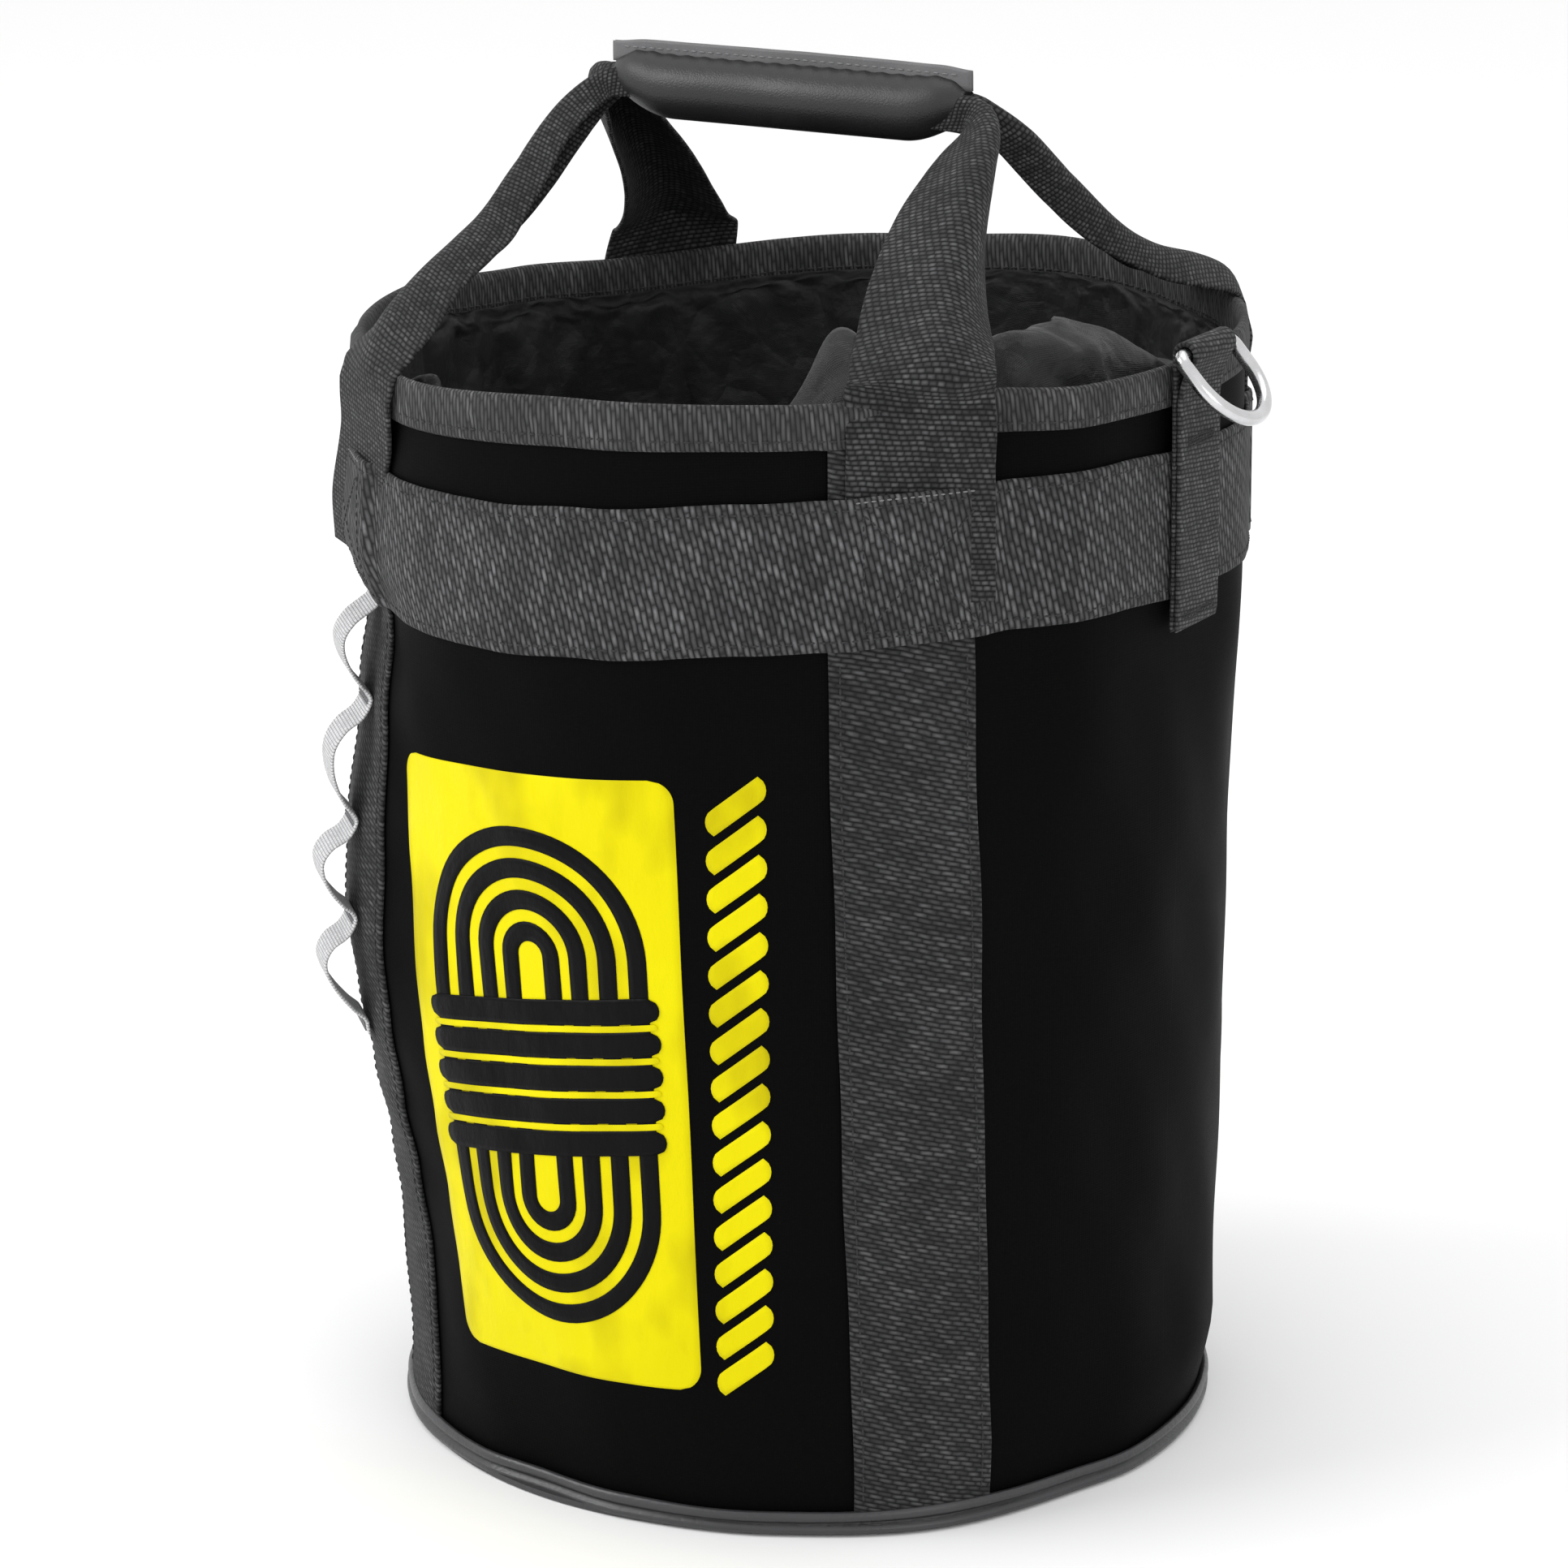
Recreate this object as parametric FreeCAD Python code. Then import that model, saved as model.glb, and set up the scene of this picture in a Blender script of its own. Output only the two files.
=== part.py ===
import FreeCAD, Part
import math
import os

os.makedirs("parts", exist_ok=True)

V = FreeCAD.Vector
ORIGIN = V(0, 0, 0)
UP = V(0, 0, 1)

# Rope storage bag, in millimetres. The origin is the centre of the base, on the ground, and +Z is up.
# The printed front faces -Y and the carrying grip lies along X.

# Bag body
HEIGHT = 390.0
TOP_RADIUS = 150.0
FOOT_RADIUS = 144.6
TAPER_TOP = 300.0
FOOT_TOP = 30.0
SOLE_RADIUS = 141.0
WALL = 1.2
BASE_THICKNESS = 2.0
WELT_HEIGHT = 7.0
WELT_THICKNESS = 3.0

# Webbing and tapes
WEBBING = 50.0
WEBBING_THICKNESS = 1.8
SIDE_ANGLES = {"front_left": 225.0, "front_right": 315.0, "rear_right": 45.0, "rear_left": 135.0}
BAND_BOTTOM = 310.0
BAND_TOP = 360.0
BINDING_DROP = 13.0
BINDING_INNER = 1.6

# Handle straps and grip
STRAP_END = 330.0
STRAP_CREST = 392.0
GRIP_HEIGHT = 465.0
GRIP_RADIUS = 11.0
GRIP_HALF_LENGTH = 67.0
GRIP_SKIN = 1.2
PAD_THICKNESS = 2.4
RUN_HALF_LENGTH = 84.0
STRAP_NECK = 16.0
STRAP_NECK_THICKNESS = 5.6
NECK_GAP = 1.0
NECK_REACH = 7.8
RUN_CLEARANCE = 0.3
RUN_GAP = 0.2
FLANGE_TOP = 480.0
FLANGE_GAP = 0.2
FLANGE_ROOT = 0.4
SEAM_ROOT = 0.6

# D-ring and its tab
TAB_ANGLE = 1.0
TAB_WIDTH = 30.0
TAB_BOTTOM = 301.0
TAB_THICKNESS = 3.6
TAB_CLEARANCE = 0.2
RING_WIRE = 2.5
RING_HALF_WIDTH = 18.5
RING_SIDE = 10.0
RING_CORNER = 3.5
BAR_RADIUS_OUT = 156.6
BAR_HEIGHT = 394.0
BAR_CLEARANCE = 0.3
RING_DROOP = 48.0

# Daisy chain of accessory loops
DAISY_SIDE = "front_left"
DAISY_WIDTH = 20.0
DAISY_THICKNESS = 1.4
DAISY_BULGE = 13.0
DAISY_ANCHORS = [308.0, 266.0, 223.0, 188.0, 150.0]
DAISY_TUCK_TOP = 327.0
BARTACK_HALF = 3.0
TAPE_LIFT = 0.02

# Stitched bars and boxes
DAISY_BAR = 16.0
DAISY_BAR_HEIGHT = 3.0
DAISY_BAR_THICKNESS = 0.7
BAR_LIFT = 0.1
BOX_HALF = 20.0
BOX_INSET = 5.0
BOX_LINE = 1.2
BOX_THICKNESS = 0.5
TAB_BAR = 18.0
TAB_BAR_BOTTOM = 362.0
TAB_BAR_TOP = 365.0
TAB_BAR_THICKNESS = 0.6

# Inner collar
COLLAR_TOP = 376.6
COLLAR_BOTTOM = 270.0
COLLAR_MOUTH_RADIUS = 148.0
COLLAR_END_RADIUS = 141.0
COLLAR_THICKNESS = 0.8
HEM_RADIUS = 2.5


def save(shape, node):
    """Write one node's STEP file."""
    shape.exportStep("parts/" + node + ".step")


def wall_outline(offset, bottom, top):
    """Points (radius, height) of the wall's outer side, moved out by offset, between two heights."""
    knots = [(SOLE_RADIUS, 0.0), (FOOT_RADIUS, FOOT_TOP), (TOP_RADIUS, TAPER_TOP), (TOP_RADIUS, HEIGHT)]
    heights = [bottom] + [z for _, z in knots if bottom < z < top] + [top]
    return [(wall_radius(z) + offset, z) for z in heights]


def wall_radius(height):
    """Outer radius of the wall at a height."""
    if height >= TAPER_TOP:
        return TOP_RADIUS
    if height >= FOOT_TOP:
        share = (height - FOOT_TOP) / (TAPER_TOP - FOOT_TOP)
        return FOOT_RADIUS + share * (TOP_RADIUS - FOOT_RADIUS)
    return SOLE_RADIUS + height / FOOT_TOP * (FOOT_RADIUS - SOLE_RADIUS)


def lathe(profile):
    """Solid of revolution about Z of a closed profile of (radius, height) points."""
    points = [V(r, 0, z) for r, z in profile + profile[:1]]
    return Part.Face(Part.makePolygon(points)).revolve(ORIGIN, UP, 360)


def skin(inner, outer, bottom, top):
    """Shell that follows the wall between two offsets from its outer side."""
    outside = wall_outline(outer, bottom, top)
    inside = wall_outline(inner, bottom, top)
    return lathe(inside + outside[::-1])


def block(x0, x1, y0, y1, z0, z1):
    """Axis-aligned box between two corners."""
    return Part.makeBox(x1 - x0, y1 - y0, z1 - z0, V(x0, y0, z0))


def turned(shape, angle):
    """A copy of a shape turned about Z by an angle in degrees."""
    copy = shape.copy()
    copy.rotate(ORIGIN, UP, angle)
    return copy


def extruded(profile, width):
    """Solid from a closed (x, z) wire or face, of a width centred on y = 0."""
    solid = profile.extrude(V(0, width, 0))
    solid.translate(V(0, -width / 2, 0))
    return solid


def body_wall():
    """Tarpaulin tube, open at both ends."""
    return skin(-WALL, 0.0, BASE_THICKNESS, HEIGHT)


def base_disc():
    """Flat PVC sole under the wall."""
    return Part.makeCylinder(wall_radius(BASE_THICKNESS), BASE_THICKNESS)


def base_welt():
    """Rolled edge that wraps the corner between sole and wall."""
    radius = wall_radius(BASE_THICKNESS)
    top = wall_radius(WELT_HEIGHT)
    half = WELT_THICKNESS / 2
    profile = [
        (radius + 0.05, 0.0),
        (radius + half, 0.0),
        (radius + WELT_THICKNESS, half),
        (radius + WELT_THICKNESS, WELT_HEIGHT - half),
        (radius + WELT_THICKNESS - half / 2, WELT_HEIGHT),
        (top + 0.02, WELT_HEIGHT),
        (radius + 0.05, BASE_THICKNESS),
    ]
    return lathe(profile)


def side_webbing(angle):
    """Webbing sewn to the wall from the welt up to the rim binding."""
    cover = skin(0.0, WEBBING_THICKNESS, WELT_HEIGHT + 0.2, HEIGHT - BINDING_DROP)
    strip = block(0, 2 * TOP_RADIUS, -WEBBING / 2, WEBBING / 2, 0, HEIGHT)
    return cover.common(turned(strip, angle))


def rim_binding():
    """Tape folded over the top edge of the wall."""
    bottom = HEIGHT - BINDING_DROP
    inner = TOP_RADIUS - WALL - BINDING_INNER
    outer = TOP_RADIUS + WEBBING_THICKNESS
    top = HEIGHT + WEBBING_THICKNESS
    profile = [
        (inner, bottom),
        (TOP_RADIUS - WALL, bottom),
        (TOP_RADIUS - WALL, HEIGHT),
        (TOP_RADIUS, HEIGHT),
        (TOP_RADIUS, bottom),
        (outer, bottom),
        (outer, top - 0.8),
        (outer - 0.8, top),
        (inner + 0.8, top),
        (inner, top - 0.8),
    ]
    return lathe(profile)


def upper_band():
    """Webbing round the bag, lifted over the four strap ends that are sewn under it."""
    lift = TOP_RADIUS + 2 * WEBBING_THICKNESS
    outer = lift + WEBBING_THICKNESS
    band = skin(0.0, WEBBING_THICKNESS, BAND_BOTTOM, BAND_TOP)
    hump = block(100, outer, -WEBBING / 2 - 2.4, WEBBING / 2 + 2.4, BAND_BOTTOM, BAND_TOP)
    pocket = block(100, lift, -WEBBING / 2 - 0.1, WEBBING / 2 + 0.1, BAND_BOTTOM, BAND_TOP)
    for angle in SIDE_ANGLES.values():
        band = band.fuse(turned(hump, angle))
    for angle in SIDE_ANGLES.values():
        band = band.cut(turned(pocket, angle))
    core = Part.makeCylinder(TOP_RADIUS, HEIGHT)
    return band.cut(core).removeSplitter()


def quad(corners):
    """Closed four-sided wire."""
    return Part.makePolygon(corners + corners[:1])


def strap_leg(angle, end):
    """Webbing leg from under the band, over the rim and in to the neck at one end of the grip (-1 or 1)."""
    face = TOP_RADIUS + WEBBING_THICKNESS
    back = face + WEBBING_THICKNESS
    half = WEBBING / 2
    sewn = turned(block(face, back, -half, half, STRAP_END, STRAP_CREST), angle)
    out = V(math.cos(math.radians(angle)), math.sin(math.radians(angle)), 0)
    tangent = UP.cross(out)
    tangent = tangent * (1 if tangent.x > 0 else -1)
    crest = V(0, 0, STRAP_CREST)
    rim = crest + out * (face + back) / 2
    fall = V(0, rim.y, rim.z - GRIP_HEIGHT).normalize()
    over = V(1, 0, 0).cross(fall)
    over = over * (1 if over.z > 0 else -1)
    neck_x = end * (GRIP_HALF_LENGTH + NECK_GAP + STRAP_NECK / 2)
    middle = V(neck_x, 0, GRIP_HEIGHT) + fall * NECK_REACH
    thick = STRAP_NECK_THICKNESS / 2
    wide = STRAP_NECK / 2
    root = []
    neck = []
    for across, through in ((-1, -1), (1, -1), (1, 1), (-1, 1)):
        root.append(rim + tangent * across * half + out * through * WEBBING_THICKNESS / 2)
        neck.append(middle + V(across * wide, 0, 0) + over * through * thick)
    leg = Part.makeLoft([quad(root), quad(neck)], True, True)
    return sewn.fuse(leg)


def strap_run(side):
    """One loop's webbing, rolled into a half round where it runs through the grip."""
    radius = GRIP_RADIUS - GRIP_SKIN - PAD_THICKNESS - RUN_CLEARANCE
    rod = Part.makeCylinder(radius, 2 * RUN_HALF_LENGTH, V(-RUN_HALF_LENGTH, 0, GRIP_HEIGHT), V(1, 0, 0))
    reach = 2 * radius
    near, far = sorted((side * RUN_GAP / 2, side * reach))
    length = RUN_HALF_LENGTH
    return rod.common(block(-length, length, near, far, GRIP_HEIGHT - reach, GRIP_HEIGHT + reach))


def tube_along_grip(inner, outer):
    """Tube about the grip's axis."""
    length = 2 * GRIP_HALF_LENGTH
    start = V(-GRIP_HALF_LENGTH, 0, GRIP_HEIGHT)
    outside = Part.makeCylinder(outer, length, start, V(1, 0, 0))
    return outside.cut(Part.makeCylinder(inner, length, start, V(1, 0, 0)))


def grip_cover():
    """PVC skin wrapped round the pad, its two edges sewn together in a flange along the top."""
    inner = GRIP_RADIUS - GRIP_SKIN
    half = GRIP_HALF_LENGTH
    lip = GRIP_SKIN + FLANGE_GAP / 2
    flange = block(-half, half, -lip, lip, GRIP_HEIGHT + inner + FLANGE_ROOT, FLANGE_TOP)
    cover = tube_along_grip(inner, GRIP_RADIUS).fuse(flange)
    seam_root = GRIP_HEIGHT + GRIP_RADIUS + SEAM_ROOT
    seam = block(-half, half, -FLANGE_GAP / 2, FLANGE_GAP / 2, seam_root, FLANGE_TOP)
    return cover.cut(seam)


def grip_pad():
    """Foam tube between the straps and the skin."""
    outer = GRIP_RADIUS - GRIP_SKIN
    return tube_along_grip(outer - PAD_THICKNESS, outer)


def d_ring_tab():
    """Doubled webbing sewn over the band, with a loop at its top that holds the ring's bar."""
    inner = TOP_RADIUS + WEBBING_THICKNESS + TAB_CLEARANCE
    bore = RING_WIRE + BAR_CLEARANCE
    loop = bore + WEBBING_THICKNESS
    slab = block(inner, inner + TAB_THICKNESS, -TAB_WIDTH / 2, TAB_WIDTH / 2, TAB_BOTTOM, BAR_HEIGHT)
    start = V(BAR_RADIUS_OUT, -TAB_WIDTH / 2, BAR_HEIGHT)
    across = V(0, 1, 0)
    tab = slab.fuse(Part.makeCylinder(loop, TAB_WIDTH, start, across))
    tab = tab.cut(Part.makeCylinder(bore, TAB_WIDTH + 2, start - across, across))
    return turned(tab, TAB_ANGLE)


def ring_point(along, across):
    """Point of the ring's plane: distance from the bar, and across it."""
    droop = math.radians(RING_DROOP)
    return V(BAR_RADIUS_OUT + along * math.cos(droop), across, BAR_HEIGHT - along * math.sin(droop))


def d_ring():
    """Welded steel D of round wire, drooping outwards from the tab."""
    w = RING_HALF_WIDTH
    c = RING_CORNER
    bend = c * (1 - math.sqrt(0.5))
    half_bar = Part.makeLine(ring_point(0, 0), ring_point(0, w - c))
    corner_1 = Part.Arc(ring_point(0, w - c), ring_point(bend, w - bend), ring_point(c, w)).toShape()
    side_1 = Part.makeLine(ring_point(c, w), ring_point(RING_SIDE, w))
    crown = ring_point(RING_SIDE + w, 0)
    bow = Part.Arc(ring_point(RING_SIDE, w), crown, ring_point(RING_SIDE, -w)).toShape()
    side_2 = Part.makeLine(ring_point(RING_SIDE, -w), ring_point(c, -w))
    corner_2 = Part.Arc(ring_point(c, -w), ring_point(bend, -w + bend), ring_point(0, -w + c)).toShape()
    section = Part.Wire(Part.Circle(ring_point(0, 0), V(0, 1, 0), RING_WIRE).toShape())
    other_half = Part.makeLine(ring_point(0, -w + c), ring_point(0, 0))
    path = Part.Wire([half_bar, corner_1, side_1, bow, side_2, corner_2, other_half])
    return turned(path.makePipeShell([section], True, False), TAB_ANGLE)


def daisy_base(height):
    """Distance from the axis to the outer face of the side webbing at a height."""
    return wall_radius(height) + WEBBING_THICKNESS


def daisy_arc(low, high, lift, sag):
    """Arc between two heights, both lifted off the webbing, that bows outwards by sag."""
    middle = (low + high) / 2
    start = V(daisy_base(low) + lift, 0, low)
    end = V(daisy_base(high) + lift, 0, high)
    crown = V(daisy_base(middle) + lift + sag, 0, middle)
    return Part.Arc(start, crown, end).toShape()


def daisy_chain():
    """Narrow tape sewn down at each anchor, standing out in a loop between anchors."""
    anchors = sorted(DAISY_ANCHORS)
    foot = anchors[0] - BARTACK_HALF
    inner = []
    outer = []
    z = foot
    for low, high in zip(anchors[:-1], anchors[1:]):
        start = low + BARTACK_HALF
        end = high - BARTACK_HALF
        for edges, lift in ((inner, TAPE_LIFT), (outer, TAPE_LIFT + DAISY_THICKNESS)):
            flat = Part.makeLine(V(daisy_base(z) + lift, 0, z), V(daisy_base(start) + lift, 0, start))
            edges.append(flat)
            edges.append(daisy_arc(start, end, lift, DAISY_BULGE - DAISY_THICKNESS))
        z = end
    last = DAISY_TUCK_TOP
    tip = TOP_RADIUS + WEBBING_THICKNESS
    for edges, lift in ((inner, TAPE_LIFT), (outer, TAPE_LIFT + DAISY_THICKNESS)):
        edges.append(Part.makeLine(V(daisy_base(z) + lift, 0, z), V(tip + lift, 0, last)))
    low_end = Part.makeLine(
        V(daisy_base(foot) + TAPE_LIFT, 0, foot), V(daisy_base(foot) + TAPE_LIFT + DAISY_THICKNESS, 0, foot)
    )
    top_end = Part.makeLine(V(tip + TAPE_LIFT, 0, last), V(tip + TAPE_LIFT + DAISY_THICKNESS, 0, last))
    face = Part.Face(Part.Wire(Part.__sortEdges__(inner + [top_end] + outer + [low_end])))
    return turned(extruded(face, DAISY_WIDTH), SIDE_ANGLES[DAISY_SIDE])


def daisy_bartacks():
    """Dense stitched bars that hold the tape down between its loops."""
    bars = []
    for height in sorted(DAISY_ANCHORS)[:-1]:
        low = height - DAISY_BAR_HEIGHT / 2
        high = height + DAISY_BAR_HEIGHT / 2
        face = daisy_base(high) + DAISY_THICKNESS + BAR_LIFT
        bars.append(block(face, face + DAISY_BAR_THICKNESS, -DAISY_BAR / 2, DAISY_BAR / 2, low, high))
    return turned(Part.makeCompound(bars), SIDE_ANGLES[DAISY_SIDE])


def strap_box_stitches():
    """Stitched box where each strap end is sewn through the band."""
    face = TOP_RADIUS + 3 * WEBBING_THICKNESS
    low = BAND_BOTTOM + BOX_INSET
    high = BAND_TOP - BOX_INSET
    frame = block(face, face + BOX_THICKNESS, -BOX_HALF, BOX_HALF, low, high)
    half = BOX_HALF - BOX_LINE
    frame = frame.cut(block(face, face + BOX_THICKNESS, -half, half, low + BOX_LINE, high - BOX_LINE))
    return Part.makeCompound([turned(frame, angle) for angle in SIDE_ANGLES.values()])


def tab_bartack():
    """Short stitched bar across the ring's tab, under its loop."""
    face = TOP_RADIUS + WEBBING_THICKNESS + TAB_CLEARANCE + TAB_THICKNESS
    back = face + TAB_BAR_THICKNESS
    return turned(block(face, back, -TAB_BAR / 2, TAB_BAR / 2, TAB_BAR_BOTTOM, TAB_BAR_TOP), TAB_ANGLE)


def inner_collar():
    """Thin nylon throat that hangs inside from the rim binding."""
    profile = [
        (COLLAR_MOUTH_RADIUS, COLLAR_TOP),
        (COLLAR_MOUTH_RADIUS - COLLAR_THICKNESS, COLLAR_TOP),
        (COLLAR_END_RADIUS - COLLAR_THICKNESS, COLLAR_BOTTOM),
        (COLLAR_END_RADIUS, COLLAR_BOTTOM),
    ]
    return lathe(profile)


def collar_hem():
    """Folded edge along the collar's free end."""
    middle = COLLAR_END_RADIUS - COLLAR_THICKNESS / 2
    return Part.makeTorus(middle, HEM_RADIUS, V(0, 0, COLLAR_BOTTOM - HEM_RADIUS), UP)


def main():
    """Build every node."""
    save(body_wall(), "body_wall")
    save(base_disc(), "base_disc")
    save(base_welt(), "base_welt")
    save(rim_binding(), "rim_binding")
    save(upper_band(), "upper_band")
    for name, angle in SIDE_ANGLES.items():
        save(side_webbing(angle), "side_webbing_" + name)
        loop, end = name.split("_")
        save(strap_leg(angle, -1 if end == "left" else 1), loop + "_strap_leg_" + end)
    save(strap_run(-1), "front_strap_run")
    save(strap_run(1), "rear_strap_run")
    save(grip_cover(), "grip_cover")
    save(grip_pad(), "grip_pad")
    save(d_ring_tab(), "d_ring_tab")
    save(d_ring(), "d_ring")
    save(tab_bartack(), "tab_bartack")
    save(daisy_chain(), "daisy_chain")
    save(daisy_bartacks(), "daisy_bartacks")
    save(strap_box_stitches(), "strap_box_stitches")
    save(inner_collar(), "inner_collar")
    save(collar_hem(), "collar_hem")


main()
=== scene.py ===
import bpy
import math
import numpy as np
from mathutils import Matrix, Vector


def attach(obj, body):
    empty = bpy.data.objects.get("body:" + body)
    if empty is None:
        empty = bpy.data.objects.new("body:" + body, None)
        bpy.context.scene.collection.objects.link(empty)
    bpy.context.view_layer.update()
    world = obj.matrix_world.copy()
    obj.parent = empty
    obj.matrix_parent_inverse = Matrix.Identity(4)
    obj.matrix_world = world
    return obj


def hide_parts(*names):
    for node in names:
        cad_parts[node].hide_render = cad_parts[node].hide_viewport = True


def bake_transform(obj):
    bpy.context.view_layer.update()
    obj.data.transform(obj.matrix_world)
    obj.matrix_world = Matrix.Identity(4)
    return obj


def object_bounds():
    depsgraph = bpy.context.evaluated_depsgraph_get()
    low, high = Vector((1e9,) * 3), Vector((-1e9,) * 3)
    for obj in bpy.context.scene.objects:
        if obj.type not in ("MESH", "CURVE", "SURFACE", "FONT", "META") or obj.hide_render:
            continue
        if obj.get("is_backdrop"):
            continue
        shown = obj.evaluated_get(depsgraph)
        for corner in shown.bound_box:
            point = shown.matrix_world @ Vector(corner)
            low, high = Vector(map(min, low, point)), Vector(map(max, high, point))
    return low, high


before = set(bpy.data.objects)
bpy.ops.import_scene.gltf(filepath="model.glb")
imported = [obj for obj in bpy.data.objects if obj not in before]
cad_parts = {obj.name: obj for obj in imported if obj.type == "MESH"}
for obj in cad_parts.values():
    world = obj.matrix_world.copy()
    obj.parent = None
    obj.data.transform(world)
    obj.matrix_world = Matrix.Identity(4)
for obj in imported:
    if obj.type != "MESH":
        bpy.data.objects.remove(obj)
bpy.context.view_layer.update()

# ---------------------------------------------------------------- bag surface, in millimetres
# How the soft bag leaves its plain shape, by listed keys eased between them. Angles are in degrees
# about +Z from +X, once round from the front left.
RIM = (  # angle, outwards, up
    (225, -2, -2), (247, 3, -4), (275, 3, 0), (300, 0, 0), (325, -4, 1), (340, 2.5, -1), (356, -0.8, -2),
    (366, -0.8, -2), (380, 2, 0), (410, 0, 1), (440, 4, 2), (465, -2, -1), (507, -4, -7), (525, -3, -5),
    (550, -3, -1), (585, -2, -2),
)
BAND = (  # angle, up
    (225, -4.5), (247, -6.5), (262, -6), (275, -3.5), (295, 0), (315, 2.6), (345, 3.2), (360, 0.5),
    (410, 0), (465, -1), (507, -4), (525, -3), (550, -2), (585, -4.5),
)
FOOT = (  # angle, outwards
    (225, -1.6), (248, -3.5), (261, -6), (275, -3), (297, -1), (318, 2), (341, -1.3), (353, 1), (382, 0.5),
    (410, 0), (470, -2), (520, 0), (560, -1), (585, -1.6),
)
LEFT = (  # height, outwards, where the accessory loops hang
    (0, 0), (35, -5), (73, -5), (101, -2), (128, 3), (156, 7), (183, 9), (219, 7), (263, 2), (306, -3),
    (330, 3), (390, 0),
)
SIDES = {"front_left": 225.0, "front_right": 315.0, "rear_right": 45.0, "rear_left": 135.0}
STRAPS = {**SIDES, "front_right": 317.0}
WEB = 50.0
WEB_THICK = 1.75
GAP = 0.12
LAYER = 1.9
BAND_Z = 335.0
WALL_THICK = 1.2


def ease(t):
    t = np.clip(t, 0.0, 1.0)
    return t * t * (3 - 2 * t)


def keyed(table, x, column=1, period=None):
    """Smooth steps between the table's keys."""
    x = np.asarray(x, float)
    keys = np.array([k[0] for k in table], float)
    values = np.array([k[column] for k in table], float)
    if period:
        x = keys[0] + np.mod(x - keys[0], period)
    i = np.clip(np.searchsorted(keys, x, side="right") - 1, 0, len(keys) - 2)
    t = ease((x - keys[i]) / (keys[i + 1] - keys[i]))
    return values[i] + (values[i + 1] - values[i]) * t


def near(angle, centre, width):
    d = np.mod(np.asarray(angle, float) - centre + 180, 360) - 180
    return np.exp(-(d / width) ** 2)


def plain_radius(z):
    return np.interp(z, (0, 30, 300, 400), (141.0, 144.6, 150.0, 150.0))


def dent(angle, z):
    """How far the soft wall stands out from the plain tube."""
    angle = np.asarray(angle, float)
    z = np.asarray(z, float)
    upper = ease((z - 200) / 110)
    lower = 1 - ease((z - 10) / 80)
    a = np.radians(angle)
    out = keyed(RIM, angle, 1, 360) * upper + keyed(FOOT, angle, 1, 360) * lower
    out = out + near(angle, 222, 26) * keyed(LEFT, z) + near(angle, 28, 24) * 2.6 * ease(z / 30)
    folds = 0.8 * np.sin(5 * a + z / 47 + 0.6) * np.sin(z / 61 + 1.2)
    folds = folds + 0.5 * np.sin(11 * a - z / 35) * np.sin(z / 38)
    folds = folds + 0.35 * np.sin(23 * a + z / 26 + 2) * np.sin(z / 24 + a * 3)
    return out + folds * ease(z / 60) * (1 - 0.8 * ease((z - 290) / 30))


def lift(angle, z):
    """How far the fabric rides up or down from its plain height."""
    z = np.asarray(z, float)
    rim = keyed(RIM, angle, 2, 360)
    band = keyed(BAND, angle, 1, 360)
    top = ease((z - 358) / 30)
    return (band * (1 - top) + rim * top) * ease((z - 272) / 30)


def bag(angle, z, off):
    """Point on the bag: row angle in degrees, height, and distance out from the wall's outer face."""
    angle, z, off = np.broadcast_arrays(*(np.asarray(value, float) for value in (angle, z, off)))
    r = plain_radius(z) + dent(angle, z) + off
    a = np.radians(angle)
    return np.stack([r * np.cos(a), r * np.sin(a), z + lift(angle, z)], -1)


def plateau(angle, centres, half=WEB / 2, run=6.0):
    """1 over each webbing, falling to 0 beside it."""
    total = 0.0
    for c in centres:
        d = np.abs(np.mod(np.asarray(angle, float) - c + 180, 360) - 180) * math.pi / 180 * 150
        total = total + 1 - ease((d - half) / run)
    return total


def under_band(angle):
    """Thickness of the webbings that lie under the band."""
    return LAYER * plateau(angle, SIDES.values()) + LAYER * plateau(angle, STRAPS.values())


def along_wall(length, radius=149.0):
    """Degrees round the bag for a length."""
    return np.degrees(length / radius)


def outward(angle):
    a = np.radians(angle)
    return np.stack([np.cos(a), np.sin(a), np.zeros_like(a)], -1)


def sideways(angle):
    """Direction along the wall at one row angle."""
    a = math.radians(angle)
    return np.array([-math.sin(a), math.cos(a), 0])


def unit(v):
    return v / np.linalg.norm(v, axis=-1, keepdims=True)


# ---------------------------------------------------------------- mesh builders
def finish_mesh(name, verts, faces, uvs, mat):
    mesh = bpy.data.meshes.new(name)
    mesh.from_pydata((np.asarray(verts, float) / 1000).tolist(), [], faces)
    layer = mesh.uv_layers.new(name="weave")
    layer.data.foreach_set("uv", (np.asarray(uvs, np.float32) / 1000).ravel())
    mesh.polygons.foreach_set("use_smooth", [True] * len(mesh.polygons))
    mesh.update()
    obj = bpy.data.objects.new(name, mesh)
    bpy.context.collection.objects.link(obj)
    obj.data.materials.append(mat)
    return obj


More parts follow.
